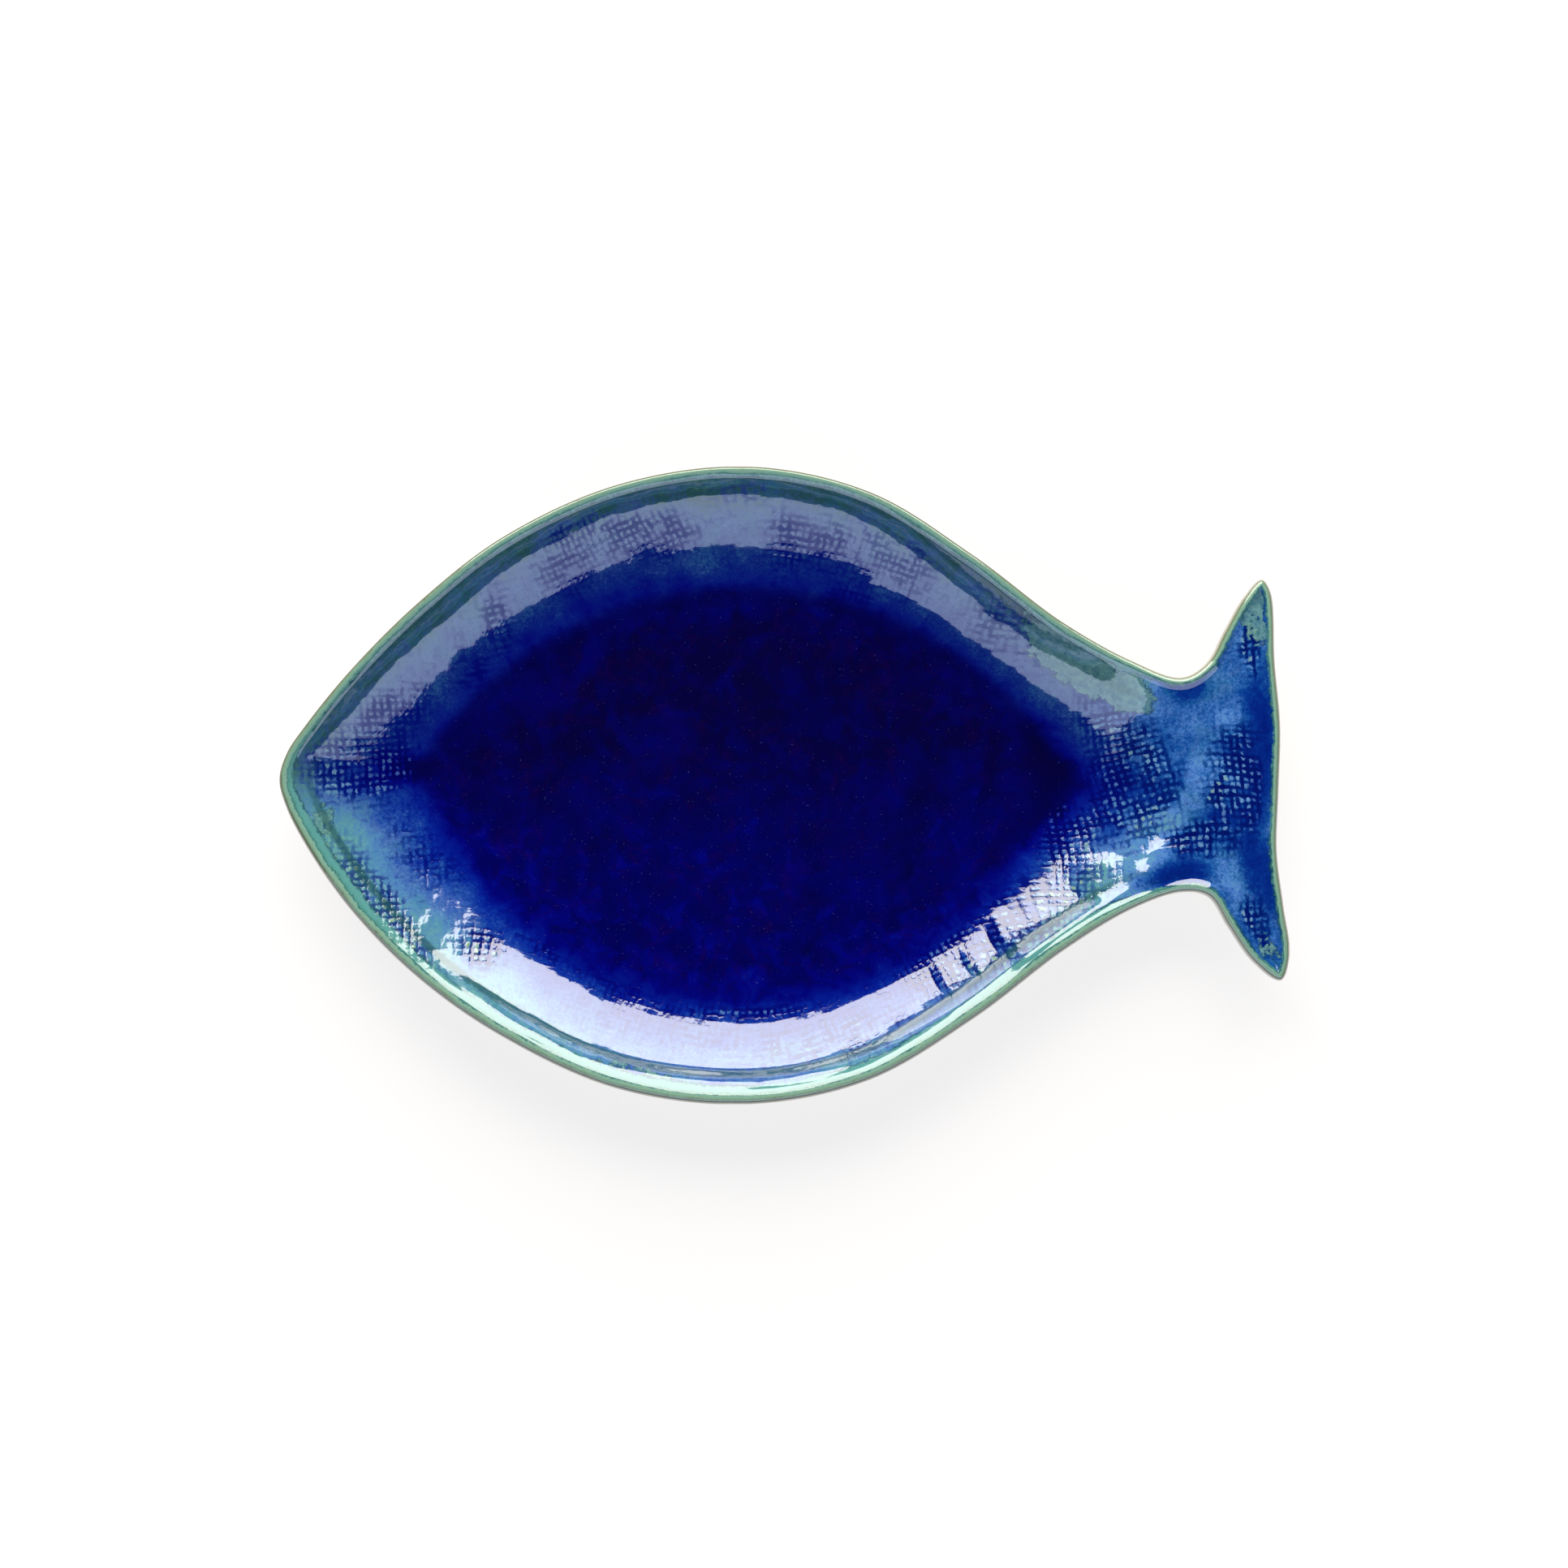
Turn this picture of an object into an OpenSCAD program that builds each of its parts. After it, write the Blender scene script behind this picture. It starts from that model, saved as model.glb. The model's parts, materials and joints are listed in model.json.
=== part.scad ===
/* [Overall size] */
// Length of the fish from nose to tail
plate_l = 400; // [360:5:440]
// Width of the fish across its belly
plate_w = 253; // [230:1:280]
// Height of the rim above the table
rim_h = 33; // [30:0.5:38]

/* [Lip] */
// Distance from the outer edge to the top of the rounded lip
lip_crest = 2.2; // [1.8:0.1:3]
// Distance from the outer edge to the inner foot of the lip
lip_foot = 5.8; // [5:0.1:7.6]
// Drop from the top of the lip to its outer edge
lip_round = 2.4; // [1.8:0.1:3]
// Drop from the top of the lip to its inner foot
lip_fall = 1.4; // [1:0.1:2]
// Height of the lip coat's overlap on the outer edge
lip_overlap = 1; // [0.6:0.1:1.6]
// How much narrower the lip is along the fish's back
lip_narrow = 0.9; // [0:0.1:1.2]
// Height of the steeper strip of wall under the back's lip
back_step = 2; // [0:0.5:4]
// Width of that steeper strip
back_step_w = 8; // [5:1:12]
// Width across the fish over which the back's shape turns into the belly's
side_w = 50; // [30:5:80]

/* [Well] */
// Length of the flat leaf-shaped floor
well_l = 258; // [230:1:270]
// Rise of the floor's back edge above the line between its two ends
well_back = 72; // [60:1:76]
// Rise of the floor's belly edge below the line between its two ends
well_belly = 93; // [80:1:96]
// Place of the floor's middle, along the fish
well_x = -17; // [-22:1:-12]
// Place of the floor's middle, across the fish
well_y = 6.5; // [3:0.5:10]
// Half width of the floor where its two ends are rounded off
well_tip = 6; // [4:0.5:8]
// Height of the glazed floor above the table
floor_h = 11.5; // [10.5:0.5:13]

/* [Tail] */
// Place along the fish where the floor starts to climb to the tail
climb_start = 112; // [104:1:118]
// Place along the fish where the tail is level
climb_end = 156; // [148:1:164]
// Depth of the shallow dish in the tail
tail_dish = 1.2; // [0.6:0.1:2]
// Distance from the lip over which the tail dips
tail_dip_w = 15; // [10:1:20]
// Distance that the tail's underside hangs below its outer edge
tail_drop = 4.2; // [3.5:0.1:5]
// Distance from the outer edge over which the tail's underside rounds off
tail_drop_w = 8; // [6:0.5:12]
// Distance from each tail tip over which the lip draws together
tip_reach = 32; // [26:1:40]

/* [Foot] */
// Height of the foot ring
foot_h = 5; // [4.4:0.2:6]
// Width of the foot ring's wall
foot_w = 8; // [6:0.5:10]
// Distance from the floor's edge in to the foot ring
foot_inset = 9; // [7:0.5:12]
// Half width of the foot ring where its two ends are rounded off
foot_end = 13; // [10:1:16]

/* [Coats] */
// Upright thickness of the blue coat on the wall and the tail
face_t = 1; // [0.8:0.1:1.2]
// Extra thickness of the glass pooled in the middle of the well
pool_extra = 1; // [0.4:0.1:1.4]
// Distance from the floor's edge over which the pool deepens
pool_slope_w = 40; // [25:1:60]
// Thickness of the coat on the outside
outside_t = 0.8; // [0.6:0.1:1]

/* [Hidden] */
$fn = 96;

// The outline, as shares of the length and the width, from the nose round to the nose
nose_share = [-0.5, 0.008];
back_shares = [
    [-0.493, 0.048], [-0.475, 0.091], [-0.43, 0.179], [-0.362, 0.287],
    [-0.278, 0.39], [-0.164, 0.472], [-0.036, 0.5], [0.085, 0.46],
    [0.188, 0.36], [0.277, 0.254], [0.345, 0.194], [0.394, 0.168],
    [0.419, 0.19], [0.437, 0.241], [0.456, 0.293], [0.474, 0.322]];
edge_shares = [
    [0.483, 0.303], [0.487, 0.191], [0.492, 0.091], [0.49, -0.011],
    [0.488, -0.106], [0.494, -0.188], [0.5, -0.267]];
belly_shares = [
    [-0.494, -0.032], [-0.475, -0.092], [-0.429, -0.196], [-0.361, -0.304],
    [-0.277, -0.396], [-0.164, -0.476], [-0.036, -0.5], [0.083, -0.463],
    [0.188, -0.366], [0.277, -0.26], [0.345, -0.195], [0.394, -0.169],
    [0.42, -0.176], [0.439, -0.222], [0.464, -0.278], [0.491, -0.307]];

// Points made between two neighbours of the outline
steps = 3;
// Steps between the lip and the floor: the floor has the steps that the tail's edge leaves over
wall_steps = 8;
floor_steps = (len(edge_shares) + 1) * steps - 2 * wall_steps;
// Powers that shape the wall, the underside and the spread of the tail's edge
wall_power = 1.9;
under_power = 1.8;
spread_power = 2;
// Number of the outline span where the tail starts
tail_first = 12;
// Share of the full lip width that is left at a tail tip
tip_share = 0.05;

across = 2 * wall_steps + floor_steps;
along = len(back_shares) * steps;
around = 2 * along + across;
edge_h = rim_h - lip_round - lip_overlap;
under_edge_h = edge_h - lip_overlap;
shoulder_h = rim_h - lip_fall;
// Distances from the outer edge to each ring of the lip
rings = [0, outside_t, (outside_t + lip_crest) / 2, lip_crest, (lip_crest + lip_foot) / 2, lip_foot];
last_ring = len(rings) - 1;

// Plain helpers
function lerp(a, b, t) = a + (b - a) * t;
function clamp(x) = min(1, max(0, x));
function ease(x) = clamp(x) * clamp(x) * (3 - 2 * clamp(x));
function wrap(i, n) = (i % n + n) % n;
function unit(v) = v / norm(v);
function reversed(v) = [for (i = [len(v) - 1 : -1 : 0]) v[i]];

// The outline is one smooth closed curve through its points
function outline_points() = [
    for (p = concat([nose_share], back_shares, edge_shares, reversed(belly_shares)))
        [p[0] * plate_l, p[1] * plate_w]];
function slope(p0, p1, p2, k0, k1) = p2 - p1 + k1 * ((p1 - p0) / k0 - (p2 - p0) / (k0 + k1));
function span(p1, p2, m1, m2, t) =
    p1 * (2 * pow(t, 3) - 3 * pow(t, 2) + 1) + m1 * (pow(t, 3) - 2 * pow(t, 2) + t)
    + p2 * (3 * pow(t, 2) - 2 * pow(t, 3)) + m2 * (pow(t, 3) - pow(t, 2));
function curve(p0, p1, p2, p3, t) =
    let (k0 = sqrt(norm(p1 - p0)))
    let (k1 = sqrt(norm(p2 - p1)))
    let (k2 = sqrt(norm(p3 - p2)))
    span(p1, p2, slope(p0, p1, p2, k0, k1), -slope(p3, p2, p1, k2, k1), t);
function smooth_loop(p) = [
    for (i = [0 : len(p) - 1])
        for (s = [0 : steps - 1])
            curve(p[wrap(i - 1, len(p))], p[i], p[wrap(i + 1, len(p))], p[wrap(i + 2, len(p))], s / steps)];
edge = smooth_loop(outline_points());
back_tip = edge[along];
belly_tip = edge[along + across];

// Distance from a point to the outline
function to_line(p, a, b) = norm(p - lerp(a, b, clamp(((p - a) * (b - a)) / ((b - a) * (b - a)))));
function edge_gap(p) = min([for (i = [0 : around - 1]) to_line(p, edge[i], edge[(i + 1) % around])]);

// The floor is the leaf shape between two arcs
function arc_r(rise) = (pow(well_l / 2, 2) + pow(rise, 2)) / (2 * rise);
back_r = arc_r(well_back);
belly_r = arc_r(well_belly);
back_c = [well_x, well_y + well_back - back_r];
belly_c = [well_x, well_y - well_belly + belly_r];
function floor_gap(p) = max(norm(p - back_c) - back_r, norm(p - belly_c) - belly_r);

// Heights of the upper face and the underside at a point
function tail_share(p) = ease((p[0] - climb_start) / (climb_end - climb_start));
function wall_share(gap, out, tail) = out <= 0 ? 0 : out / (out + max(0, gap) * (1 - tail));
function lip_drop(gap, tail) =
    gap < lip_crest
    ? lip_round * (1 - sqrt(max(0, 1 - pow(1 - gap / lip_crest, 2))))
    : lip_fall * lerp(pow(lip_part(gap), 2), ease(lip_part(gap)), tail);
function lip_part(gap) = clamp((gap - lip_crest) / (lip_foot - lip_crest));
function back_side(p) = ease(p[1] / side_w + 0.5) * (1 - tail_share(p));
function lip_place(p, gap) = gap + lip_narrow * back_side(p) * min(1, gap / (lip_crest - lip_narrow));
function face_z(p, gap) =
    let (tail = tail_share(p))
    let (step = back_step * back_side(p))
    let (place = lip_place(p, gap))
    place < lip_foot
    ? rim_h - lip_drop(place, tail)
    : floor_h
      + (shoulder_h - step - floor_h) * pow(wall_share(place - lip_foot, floor_gap(p), tail), wall_power)
      + step * pow(clamp(1 - (place - lip_foot) / back_step_w), 2)
      - tail_dish * tail * ease((place - lip_foot) / tail_dip_w);
function under_z(p, gap) =
    let (tail = tail_share(p))
    foot_h + (under_edge_h - foot_h) * pow(wall_share(gap, floor_gap(p), tail), under_power)
    - tail_drop * tail * ease(gap / tail_drop_w);
function pool_t(p) = pool_extra * ease(-floor_gap(p) / pool_slope_w);

// Plan points of the rings that follow the outline inwards
function inward(i) =
    let (t = unit(edge[(i + 1) % around] - edge[wrap(i - 1, around)]))
    [t[1], -t[0]];
function draw_in(p) = max(tip_share, min(1, min(norm(p - back_tip), norm(p - belly_tip)) / tip_reach));
function ring_gap(p, r) = r == 0 ? 0 : rings[1] + (rings[r] - rings[1]) * draw_in(p);
function ring(r) = [for (i = [0 : around - 1]) edge[i] + inward(i) * ring_gap(edge[i], r)];
inner = ring(last_ring);

// Plan points of the lines that run across the fish inside the last ring
function upper(i) = inner[i];
function lower(i) = inner[(around - i) % around];
function line_x(i) = (upper(i)[0] + lower(i)[0]) / 2;
// First and last of the lines that cross the floor
floor_first = min([for (i = [1 : along - 1]) if (line_x(i) >= well_x - well_l / 2) i]);
floor_last = max([for (i = [1 : along - 1]) if (line_x(i) <= well_x + well_l / 2) i]);
function arc_y(x, c, r, side) = c[1] + side * sqrt(max(0, pow(r, 2) - pow(x - c[0], 2)));
function strip_edge(i, side) =
    let (x = line_x(i))
    let (middle = (upper(i)[1] + lower(i)[1]) / 2)
    let (plain = norm(upper(i) - lower(i)) / 2 * floor_steps / across)
    let (tail = tail_share([x, middle]))
    let (tip = lerp(min(plain, well_tip), plain, tail))
    let (arc = side > 0 ? arc_y(x, back_c, back_r, 1) : arc_y(x, belly_c, belly_r, -1))
    i < floor_first || i > floor_last
    ? lerp(lerp(middle, well_y, clamp(i / floor_first)), middle, tail) + side * tip
    : side * max(side * (arc - well_y), well_tip) + well_y;
function line_share(i, j) =
    let (top = upper(i)[1])
    let (bottom = lower(i)[1])
    let (a = (top - strip_edge(i, 1)) / (top - bottom))
    let (b = (top - strip_edge(i, -1)) / (top - bottom))
    j <= wall_steps ? a * j / wall_steps
    : j <= wall_steps + floor_steps ? lerp(a, b, (j - wall_steps) / floor_steps)
    : lerp(b, 1, (j - wall_steps - floor_steps) / wall_steps);
function bulge(i, s, j) =
    pow(clamp((i / steps - tail_first) / (len(back_shares) - tail_first)), spread_power)
    * (inner[along + j] - lerp(inner[along], inner[along + across], s));
function inner_point(i, j) =
    let (s = line_share(i, j))
    lerp(upper(i), lower(i), s) + bulge(i, s, j);

// All the plan points, ring by ring and then line by line, and where each one is in that list
plan = concat(
    [for (r = [0 : last_ring]) each ring(r)],
    [for (i = [1 : along - 1]) for (j = [1 : across - 1]) inner_point(i, j)]);
gaps = [for (p = plan) edge_gap(p)];
function at_ring(r, i) = r * around + wrap(i, around);
function at(i, j) =
    i == 0 ? at_ring(last_ring, 0)
    : i == along ? at_ring(last_ring, along + j)
    : j == 0 ? at_ring(last_ring, i)
    : j == across ? at_ring(last_ring, -i)
    : (last_ring + 1) * around + (i - 1) * (across - 1) + j - 1;

// Triangles of the plan, all seen from above
function quad(a, b, c, d) = [[a, b, c], [a, c, d]];
function ring_faces(first) = [
    for (r = [first : last_ring - 1])
        for (i = [0 : around - 1])
            each quad(at_ring(r, i), at_ring(r, i + 1), at_ring(r + 1, i + 1), at_ring(r + 1, i))];
function is_floor(i, j) =
    i >= floor_first && i < floor_last && j >= wall_steps && j < wall_steps + floor_steps;
function line_faces(want_floor, want_wall) = [
    for (i = [0 : along - 1])
        for (j = [0 : across - 1])
            if (is_floor(i, j) ? want_floor : want_wall)
                each i == 0
                    ? [[at(0, j), at(1, j), at(1, j + 1)]]
                    : quad(at(i, j), at(i + 1, j), at(i + 1, j + 1), at(i, j + 1))];
// Plan points round the floor's edge, in the same sense as the rings
floor_loop = concat(
    [for (i = [floor_first : floor_last]) at(i, wall_steps)],
    [for (j = [wall_steps + 1 : wall_steps + floor_steps]) at(floor_last, j)],
    [for (i = [floor_last - 1 : -1 : floor_first]) at(i, wall_steps + floor_steps)],
    [for (j = [wall_steps + floor_steps - 1 : -1 : wall_steps + 1]) at(floor_first, j)]);
function ring_loop(r) = [for (i = [0 : around - 1]) at_ring(r, i)];

// A sheet holds one height for each plan point, and a slab is closed between two sheets
count = len(plan);
function lift(heights) = [for (i = [0 : count - 1]) [plan[i][0], plan[i][1], heights[i]]];
function shifted(faces, n) = [for (f = faces) [for (v = f) v + n]];
function flipped(faces) = [for (f = faces) reversed(f)];
function side_faces(loop) = [
    for (k = [0 : len(loop) - 1])
        let (a = loop[k])
        let (b = loop[(k + 1) % len(loop)])
            each [[a, a + count, b + count], [a, b + count, b]]];

face_top = [for (i = [0 : count - 1]) face_z(plan[i], gaps[i])];
clay_top = [for (i = [0 : count - 1]) face_top[i] - face_t - pool_t(plan[i])];
clay_under = [for (i = [0 : count - 1]) under_z(plan[i], gaps[i])];
coat_under = [for (i = [0 : count - 1]) clay_under[i] - outside_t];

module slab(top, bottom, faces, outer, hole) {
    polyhedron(
        points = concat(lift(top), lift(bottom)),
        faces = concat(
            faces,
            flipped(shifted(faces, count)),
            side_faces(outer),
            side_faces(reversed(hole))),
        convexity = 6);
}

// A band is closed round a list of rings, each with its own heights
module band(layers) {
    n = len(layers);
    polyhedron(
        points = [
            for (layer = layers)
                for (i = [0 : around - 1])
                    let (k = at_ring(layer[0], i))
                        [plan[k][0], plan[k][1], layer[1] == [] ? layer[2] : layer[1][k]]],
        faces = [
            for (a = [0 : n - 1])
                for (i = [0 : around - 1])
                    let (b = (a + 1) % n)
                    let (j = (i + 1) % around)
                        each quad(a * around + i, a * around + j, b * around + j, b * around + i)],
        convexity = 6);
}

// The pressed clay: floor, wall, lip and tail are one slab
module stoneware_body() {
    color("#b9a58c")
        slab(clay_top, clay_under, concat(ring_faces(1), line_faces(true, true)), ring_loop(1), []);
}

// The leaf between the two arcs, moved in by a distance, with a third arc across its ends
module leaf(inset) {
    intersection() {
        translate(back_c)
            circle(r = back_r - inset);
        translate(belly_c)
            circle(r = belly_r - inset);
        translate([well_x, well_y])
            circle(r = end_reach(inset));
    }
}

// Half length at which a leaf moved in by a distance is still twice the foot's end wide
function end_reach(inset) =
    let (mean_r = (back_r + belly_r) / 2 - inset)
    let (mean_rise = (well_back + well_belly) / 2 - inset)
    sqrt(pow(mean_r, 2) - pow(mean_r - mean_rise + foot_end, 2));

// The bare ring of clay that the platter stands on
module foot_ring() {
    color("#c9b79c")
        linear_extrude(height = foot_h)
            difference() {
                leaf(foot_inset);
                leaf(foot_inset + foot_w);
            }
}

// The blue coat on the wall and the tail
module face_glaze() {
    color("#2b5fa8")
        slab(face_top, clay_top, line_faces(false, true), ring_loop(last_ring), floor_loop);
}

// The pale green coat that breaks over the lip
module lip_glaze() {
    color("#8fb8a2")
        band(concat(
            [[0, [], edge_h]],
            [for (r = [0 : last_ring]) [r, face_top]],
            [for (r = [last_ring : -1 : 1]) [r, clay_top]],
            [[1, [], edge_h]]));
}

// The cream coat on the outer wall and under the tail, wiped back from the foot
module outside_glaze() {
    color("#d8d3c4") {
        slab(
            clay_under, coat_under,
            concat(ring_faces(1), line_faces(false, true)),
            ring_loop(1), floor_loop);
        band([[0, [], edge_h], [1, [], edge_h], [1, clay_under], [1, coat_under], [0, coat_under]]);
    }
}

// The thick cobalt glass that pooled in the well
module well_pool() {
    color("#0b0a55")
        slab(face_top, clay_top, line_faces(true, false), floor_loop, []);
}

stoneware_body();
foot_ring();
face_glaze();
lip_glaze();
outside_glaze();
well_pool();
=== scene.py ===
"""Fish shaped platter: reactive blue glaze over cloth-pressed stoneware.

Every length is in metres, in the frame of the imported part: the nose points to -X, the tail to +X,
the fish's back to +Y, and the foot stands on z = 0.
"""
import json
import math

import bpy
import numpy as np
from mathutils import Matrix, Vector, kdtree

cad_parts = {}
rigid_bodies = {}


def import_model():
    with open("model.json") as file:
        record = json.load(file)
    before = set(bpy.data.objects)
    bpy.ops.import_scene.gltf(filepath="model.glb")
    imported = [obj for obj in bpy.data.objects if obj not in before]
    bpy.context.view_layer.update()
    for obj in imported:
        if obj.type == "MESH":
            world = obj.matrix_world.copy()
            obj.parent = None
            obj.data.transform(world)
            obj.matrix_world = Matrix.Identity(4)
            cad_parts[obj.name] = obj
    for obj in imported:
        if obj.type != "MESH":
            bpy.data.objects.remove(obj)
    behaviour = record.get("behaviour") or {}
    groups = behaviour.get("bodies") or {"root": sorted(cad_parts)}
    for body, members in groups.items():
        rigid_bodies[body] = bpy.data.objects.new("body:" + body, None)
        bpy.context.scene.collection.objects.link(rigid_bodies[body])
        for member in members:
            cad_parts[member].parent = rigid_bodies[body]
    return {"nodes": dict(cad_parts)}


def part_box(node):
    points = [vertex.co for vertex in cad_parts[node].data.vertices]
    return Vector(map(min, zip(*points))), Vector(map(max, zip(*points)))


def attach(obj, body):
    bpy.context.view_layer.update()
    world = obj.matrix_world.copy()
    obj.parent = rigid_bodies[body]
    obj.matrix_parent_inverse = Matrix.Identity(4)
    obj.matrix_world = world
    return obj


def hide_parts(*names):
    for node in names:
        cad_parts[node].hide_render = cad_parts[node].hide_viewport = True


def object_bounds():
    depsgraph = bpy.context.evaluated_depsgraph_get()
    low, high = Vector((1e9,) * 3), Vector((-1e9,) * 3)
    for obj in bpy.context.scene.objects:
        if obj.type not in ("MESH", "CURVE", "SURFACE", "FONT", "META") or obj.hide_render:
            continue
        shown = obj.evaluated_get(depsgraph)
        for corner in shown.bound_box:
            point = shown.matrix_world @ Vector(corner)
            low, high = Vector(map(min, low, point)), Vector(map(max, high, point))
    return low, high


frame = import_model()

CAD_LOW, CAD_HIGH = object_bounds()
MM = 0.001

# Sizes shared with the solids
LENGTH = CAD_HIGH.x - CAD_LOW.x
WIDTH = CAD_HIGH.y - CAD_LOW.y
RIM_H = CAD_HIGH.z
FLOOR_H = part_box("well_pool")[1].z
FOOT_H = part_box("foot_ring")[1].z
EDGE_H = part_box("lip_glaze")[0].z
LIP_CREST, LIP_FOOT, LIP_FALL, LIP_NARROW = 2.2 * MM, 5.8 * MM, 1.4 * MM, 0.9 * MM
BACK_STEP, BACK_STEP_W, SIDE_W = 2 * MM, 8 * MM, 50 * MM
LIP_OVERLAP = 1.0 * MM
LIP_ROUND = RIM_H - EDGE_H - LIP_OVERLAP
COAT, FACE_COAT = 0.8 * MM, 1.0 * MM
POOL_EXTRA, POOL_SLOPE_W = 1 * MM, 40 * MM
TAIL_START, TAIL_LEVEL = 112 * MM, 156 * MM
TAIL_DISH, TAIL_DIP_W = 1.2 * MM, 15 * MM
TAIL_DROP, TAIL_DROP_W = 4.2 * MM, 8 * MM
TIP_REACH, TIP_SHARE = 32 * MM, 0.05
WALL_POWER, UNDER_POWER = 1.9, 1.8
WELL_L, WELL_BACK, WELL_BELLY = 258 * MM, 72 * MM, 93 * MM
WELL_X, WELL_Y, WELL_TIP = -17 * MM, 6.5 * MM, 6 * MM

# The outline as shares of the length and the width, the same points as the solids have
NOSE = [(-0.5, 0.008)]
BACK = [
    (-0.493, 0.048), (-0.475, 0.091), (-0.43, 0.179), (-0.362, 0.287), (-0.278, 0.39), (-0.164, 0.472),
    (-0.036, 0.5), (0.085, 0.46), (0.188, 0.36), (0.277, 0.254), (0.345, 0.194), (0.394, 0.168),
    (0.419, 0.19), (0.437, 0.241), (0.456, 0.293), (0.474, 0.322)]
TAIL_EDGE = [
    (0.483, 0.303), (0.487, 0.191), (0.492, 0.091), (0.49, -0.011), (0.488, -0.106), (0.494, -0.188),
    (0.5, -0.267)]
BELLY = [
    (-0.494, -0.032), (-0.475, -0.092), (-0.429, -0.196), (-0.361, -0.304), (-0.277, -0.396),
    (-0.164, -0.476), (-0.036, -0.5), (0.083, -0.463), (0.188, -0.366), (0.277, -0.26), (0.345, -0.195),
    (0.394, -0.169), (0.42, -0.176), (0.439, -0.222), (0.464, -0.278), (0.491, -0.307)]

# Weave of the cloth that was pressed into the clay, and the height of its print
THREAD, PRINT_H = 2.72 * MM, 0.036 * MM
# How the cloth was laid: its turn, and how far it is out of true over long and short stretches
CLOTH_TURN = math.radians(3)
CLOTH_PULLS = [(1.6 * MM, 60 * MM), (0.4 * MM, 16 * MM)]
# How it was draped: how many threads it was pulled outwards along the wall, and its turn in the neck
DRAPE_THREADS, DRAPE_REACH, DRAPE_MID, DRAPE_SIDE = 12, 118 * MM, -12 * MM, 88 * MM
NECK_TURN, NECK_TURN_AT, NECK_TURN_REACH = math.radians(-13), (140 * MM, 0), 62 * MM
# Where the print sets in below the lip and fades towards the floor, and how ragged its patches are
PRINT_FROM, PRINT_FADE, PRINT_FLOOR_FADE, PRINT_RAGGED = 4 * MM, 4 * MM, 6 * MM, 16 * MM
# Height and size of the waves of the hand-pressed wall, from long to fine, and where they rise and calm
LONG_WAVE_H, LONG_WAVE = 0.37 * MM, 30 * MM
SHORT_WAVE_H, NECK_WAVE_H, SHORT_WAVE = 0.3 * MM, 0.4 * MM, 13 * MM
RIPPLE_H, RIPPLE = 0.13 * MM, 8 * MM
GRAIN_H, BACK_GRAIN_H, GRAIN = 0.014 * MM, 0.05 * MM, 3 * MM
BACK_GRAIN_END, WAVE_RISE, FLOOR_CALM = 16 * MM, 6 * MM, 12 * MM
# Bead of glaze that ran together below the lip on the belly side, and how it breaks up and swells
BEAD_AT, BEAD_HALF_W, BEAD_H = 9.4 * MM, (3.8 * MM, 4.6 * MM), 0.92 * MM
BEAD_START, BEAD_END, BEAD_FADE = -134 * MM, 112 * MM, 24 * MM
BEAD_SHIFT, BEAD_SHIFT_FROM = 1.1 * MM, 40 * MM
BEAD_WHOLE, BEAD_BREAK, BEAD_MEAN, BEAD_LUMP_H, BEAD_LUMP = 1.05, 42 * MM, 0.9, 0.35, 15 * MM
# How thin the glaze lies, from 0 at the floor's edge to 1 at the foot of the lip: on the tail, and how much
# thicker it is deep in the well on the back's side and the belly's, and in its patches
TAIL_THIN = 0.44
WELL_BACK_THICK, WELL_BELLY_THICK, THICK_REACH, THICK_SPREAD = 0.25, 0.14, 9 * MM, 110 * MM
BLOTCH_THIN, BLOTCH, SPOT_THIN, SPOT, BLOTCH_FADE = 0.15, 26 * MM, 0.08, 6 * MM, 12 * MM
PALE_THIN, DARK_THICK = 0.3, 0.36
# How far the lip's pale bands reach in from the edge, in millimetres
BAND_BELLY, BAND_BACK, BAND_TAIL = 7.2, 4.7, 3.1
# Mesh: how fine the face, its underside and the outside coat are, and how wide the wall and the middle count
FACE_STEP, UNDER_STEPS, OUTSIDE_STEP = 0.78 * MM, 5, 2.0 * MM
WALL_LINES_W, MIDDLE_LINES_W = 42 * MM, 70 * MM
# Distances from the edge at which rings of points run round the fish, in millimetres
LIP_RINGS = [0, 0.1, 0.25, 0.45, 0.7, 0.95, 1.25, 1.6, 1.9, 2.2, 2.6, 3.0, 3.5, 4.0, 4.6, 5.2, 5.8]
OUTSIDE_RINGS = [0, 0.4, 0.8, 1.5, 2.2, 4.0, 5.8]
LIP_COAT = 1.4 * FACE_COAT
NORMAL_REACH = 0.12 * MM
RNG = 11


# Plain helpers
def ease(x):
    x = np.clip(x, 0, 1)
    return x * x * (3 - 2 * x)


def lerp(a, b, t):
    return a + (b - a) * t


def noise(x, y, size, seed):
    """Smooth noise from -1 to 1 with bumps of about one size, the same in every run."""
    grid = np.random.default_rng(RNG * 1000 + seed).uniform(-1, 1, (64, 64))
    u, v = x / size + 17.3, y / size + 9.1
    i, j = np.floor(u).astype(int), np.floor(v).astype(int)
    s, t = ease(u - i), ease(v - j)
    i0, i1, j0, j1 = i % 64, (i + 1) % 64, j % 64, (j + 1) % 64
    return lerp(lerp(grid[i0, j0], grid[i1, j0], s), lerp(grid[i0, j1], grid[i1, j1], s), t)


def cloudy(x, y, size, seed, octaves=3):
    """A few sizes of noise on top of each other."""
    total = sum(noise(x, y, size / 2 ** k, seed + k) / 2 ** k for k in range(octaves))
    return total / (2 - 0.5 ** (octaves - 1))


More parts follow.
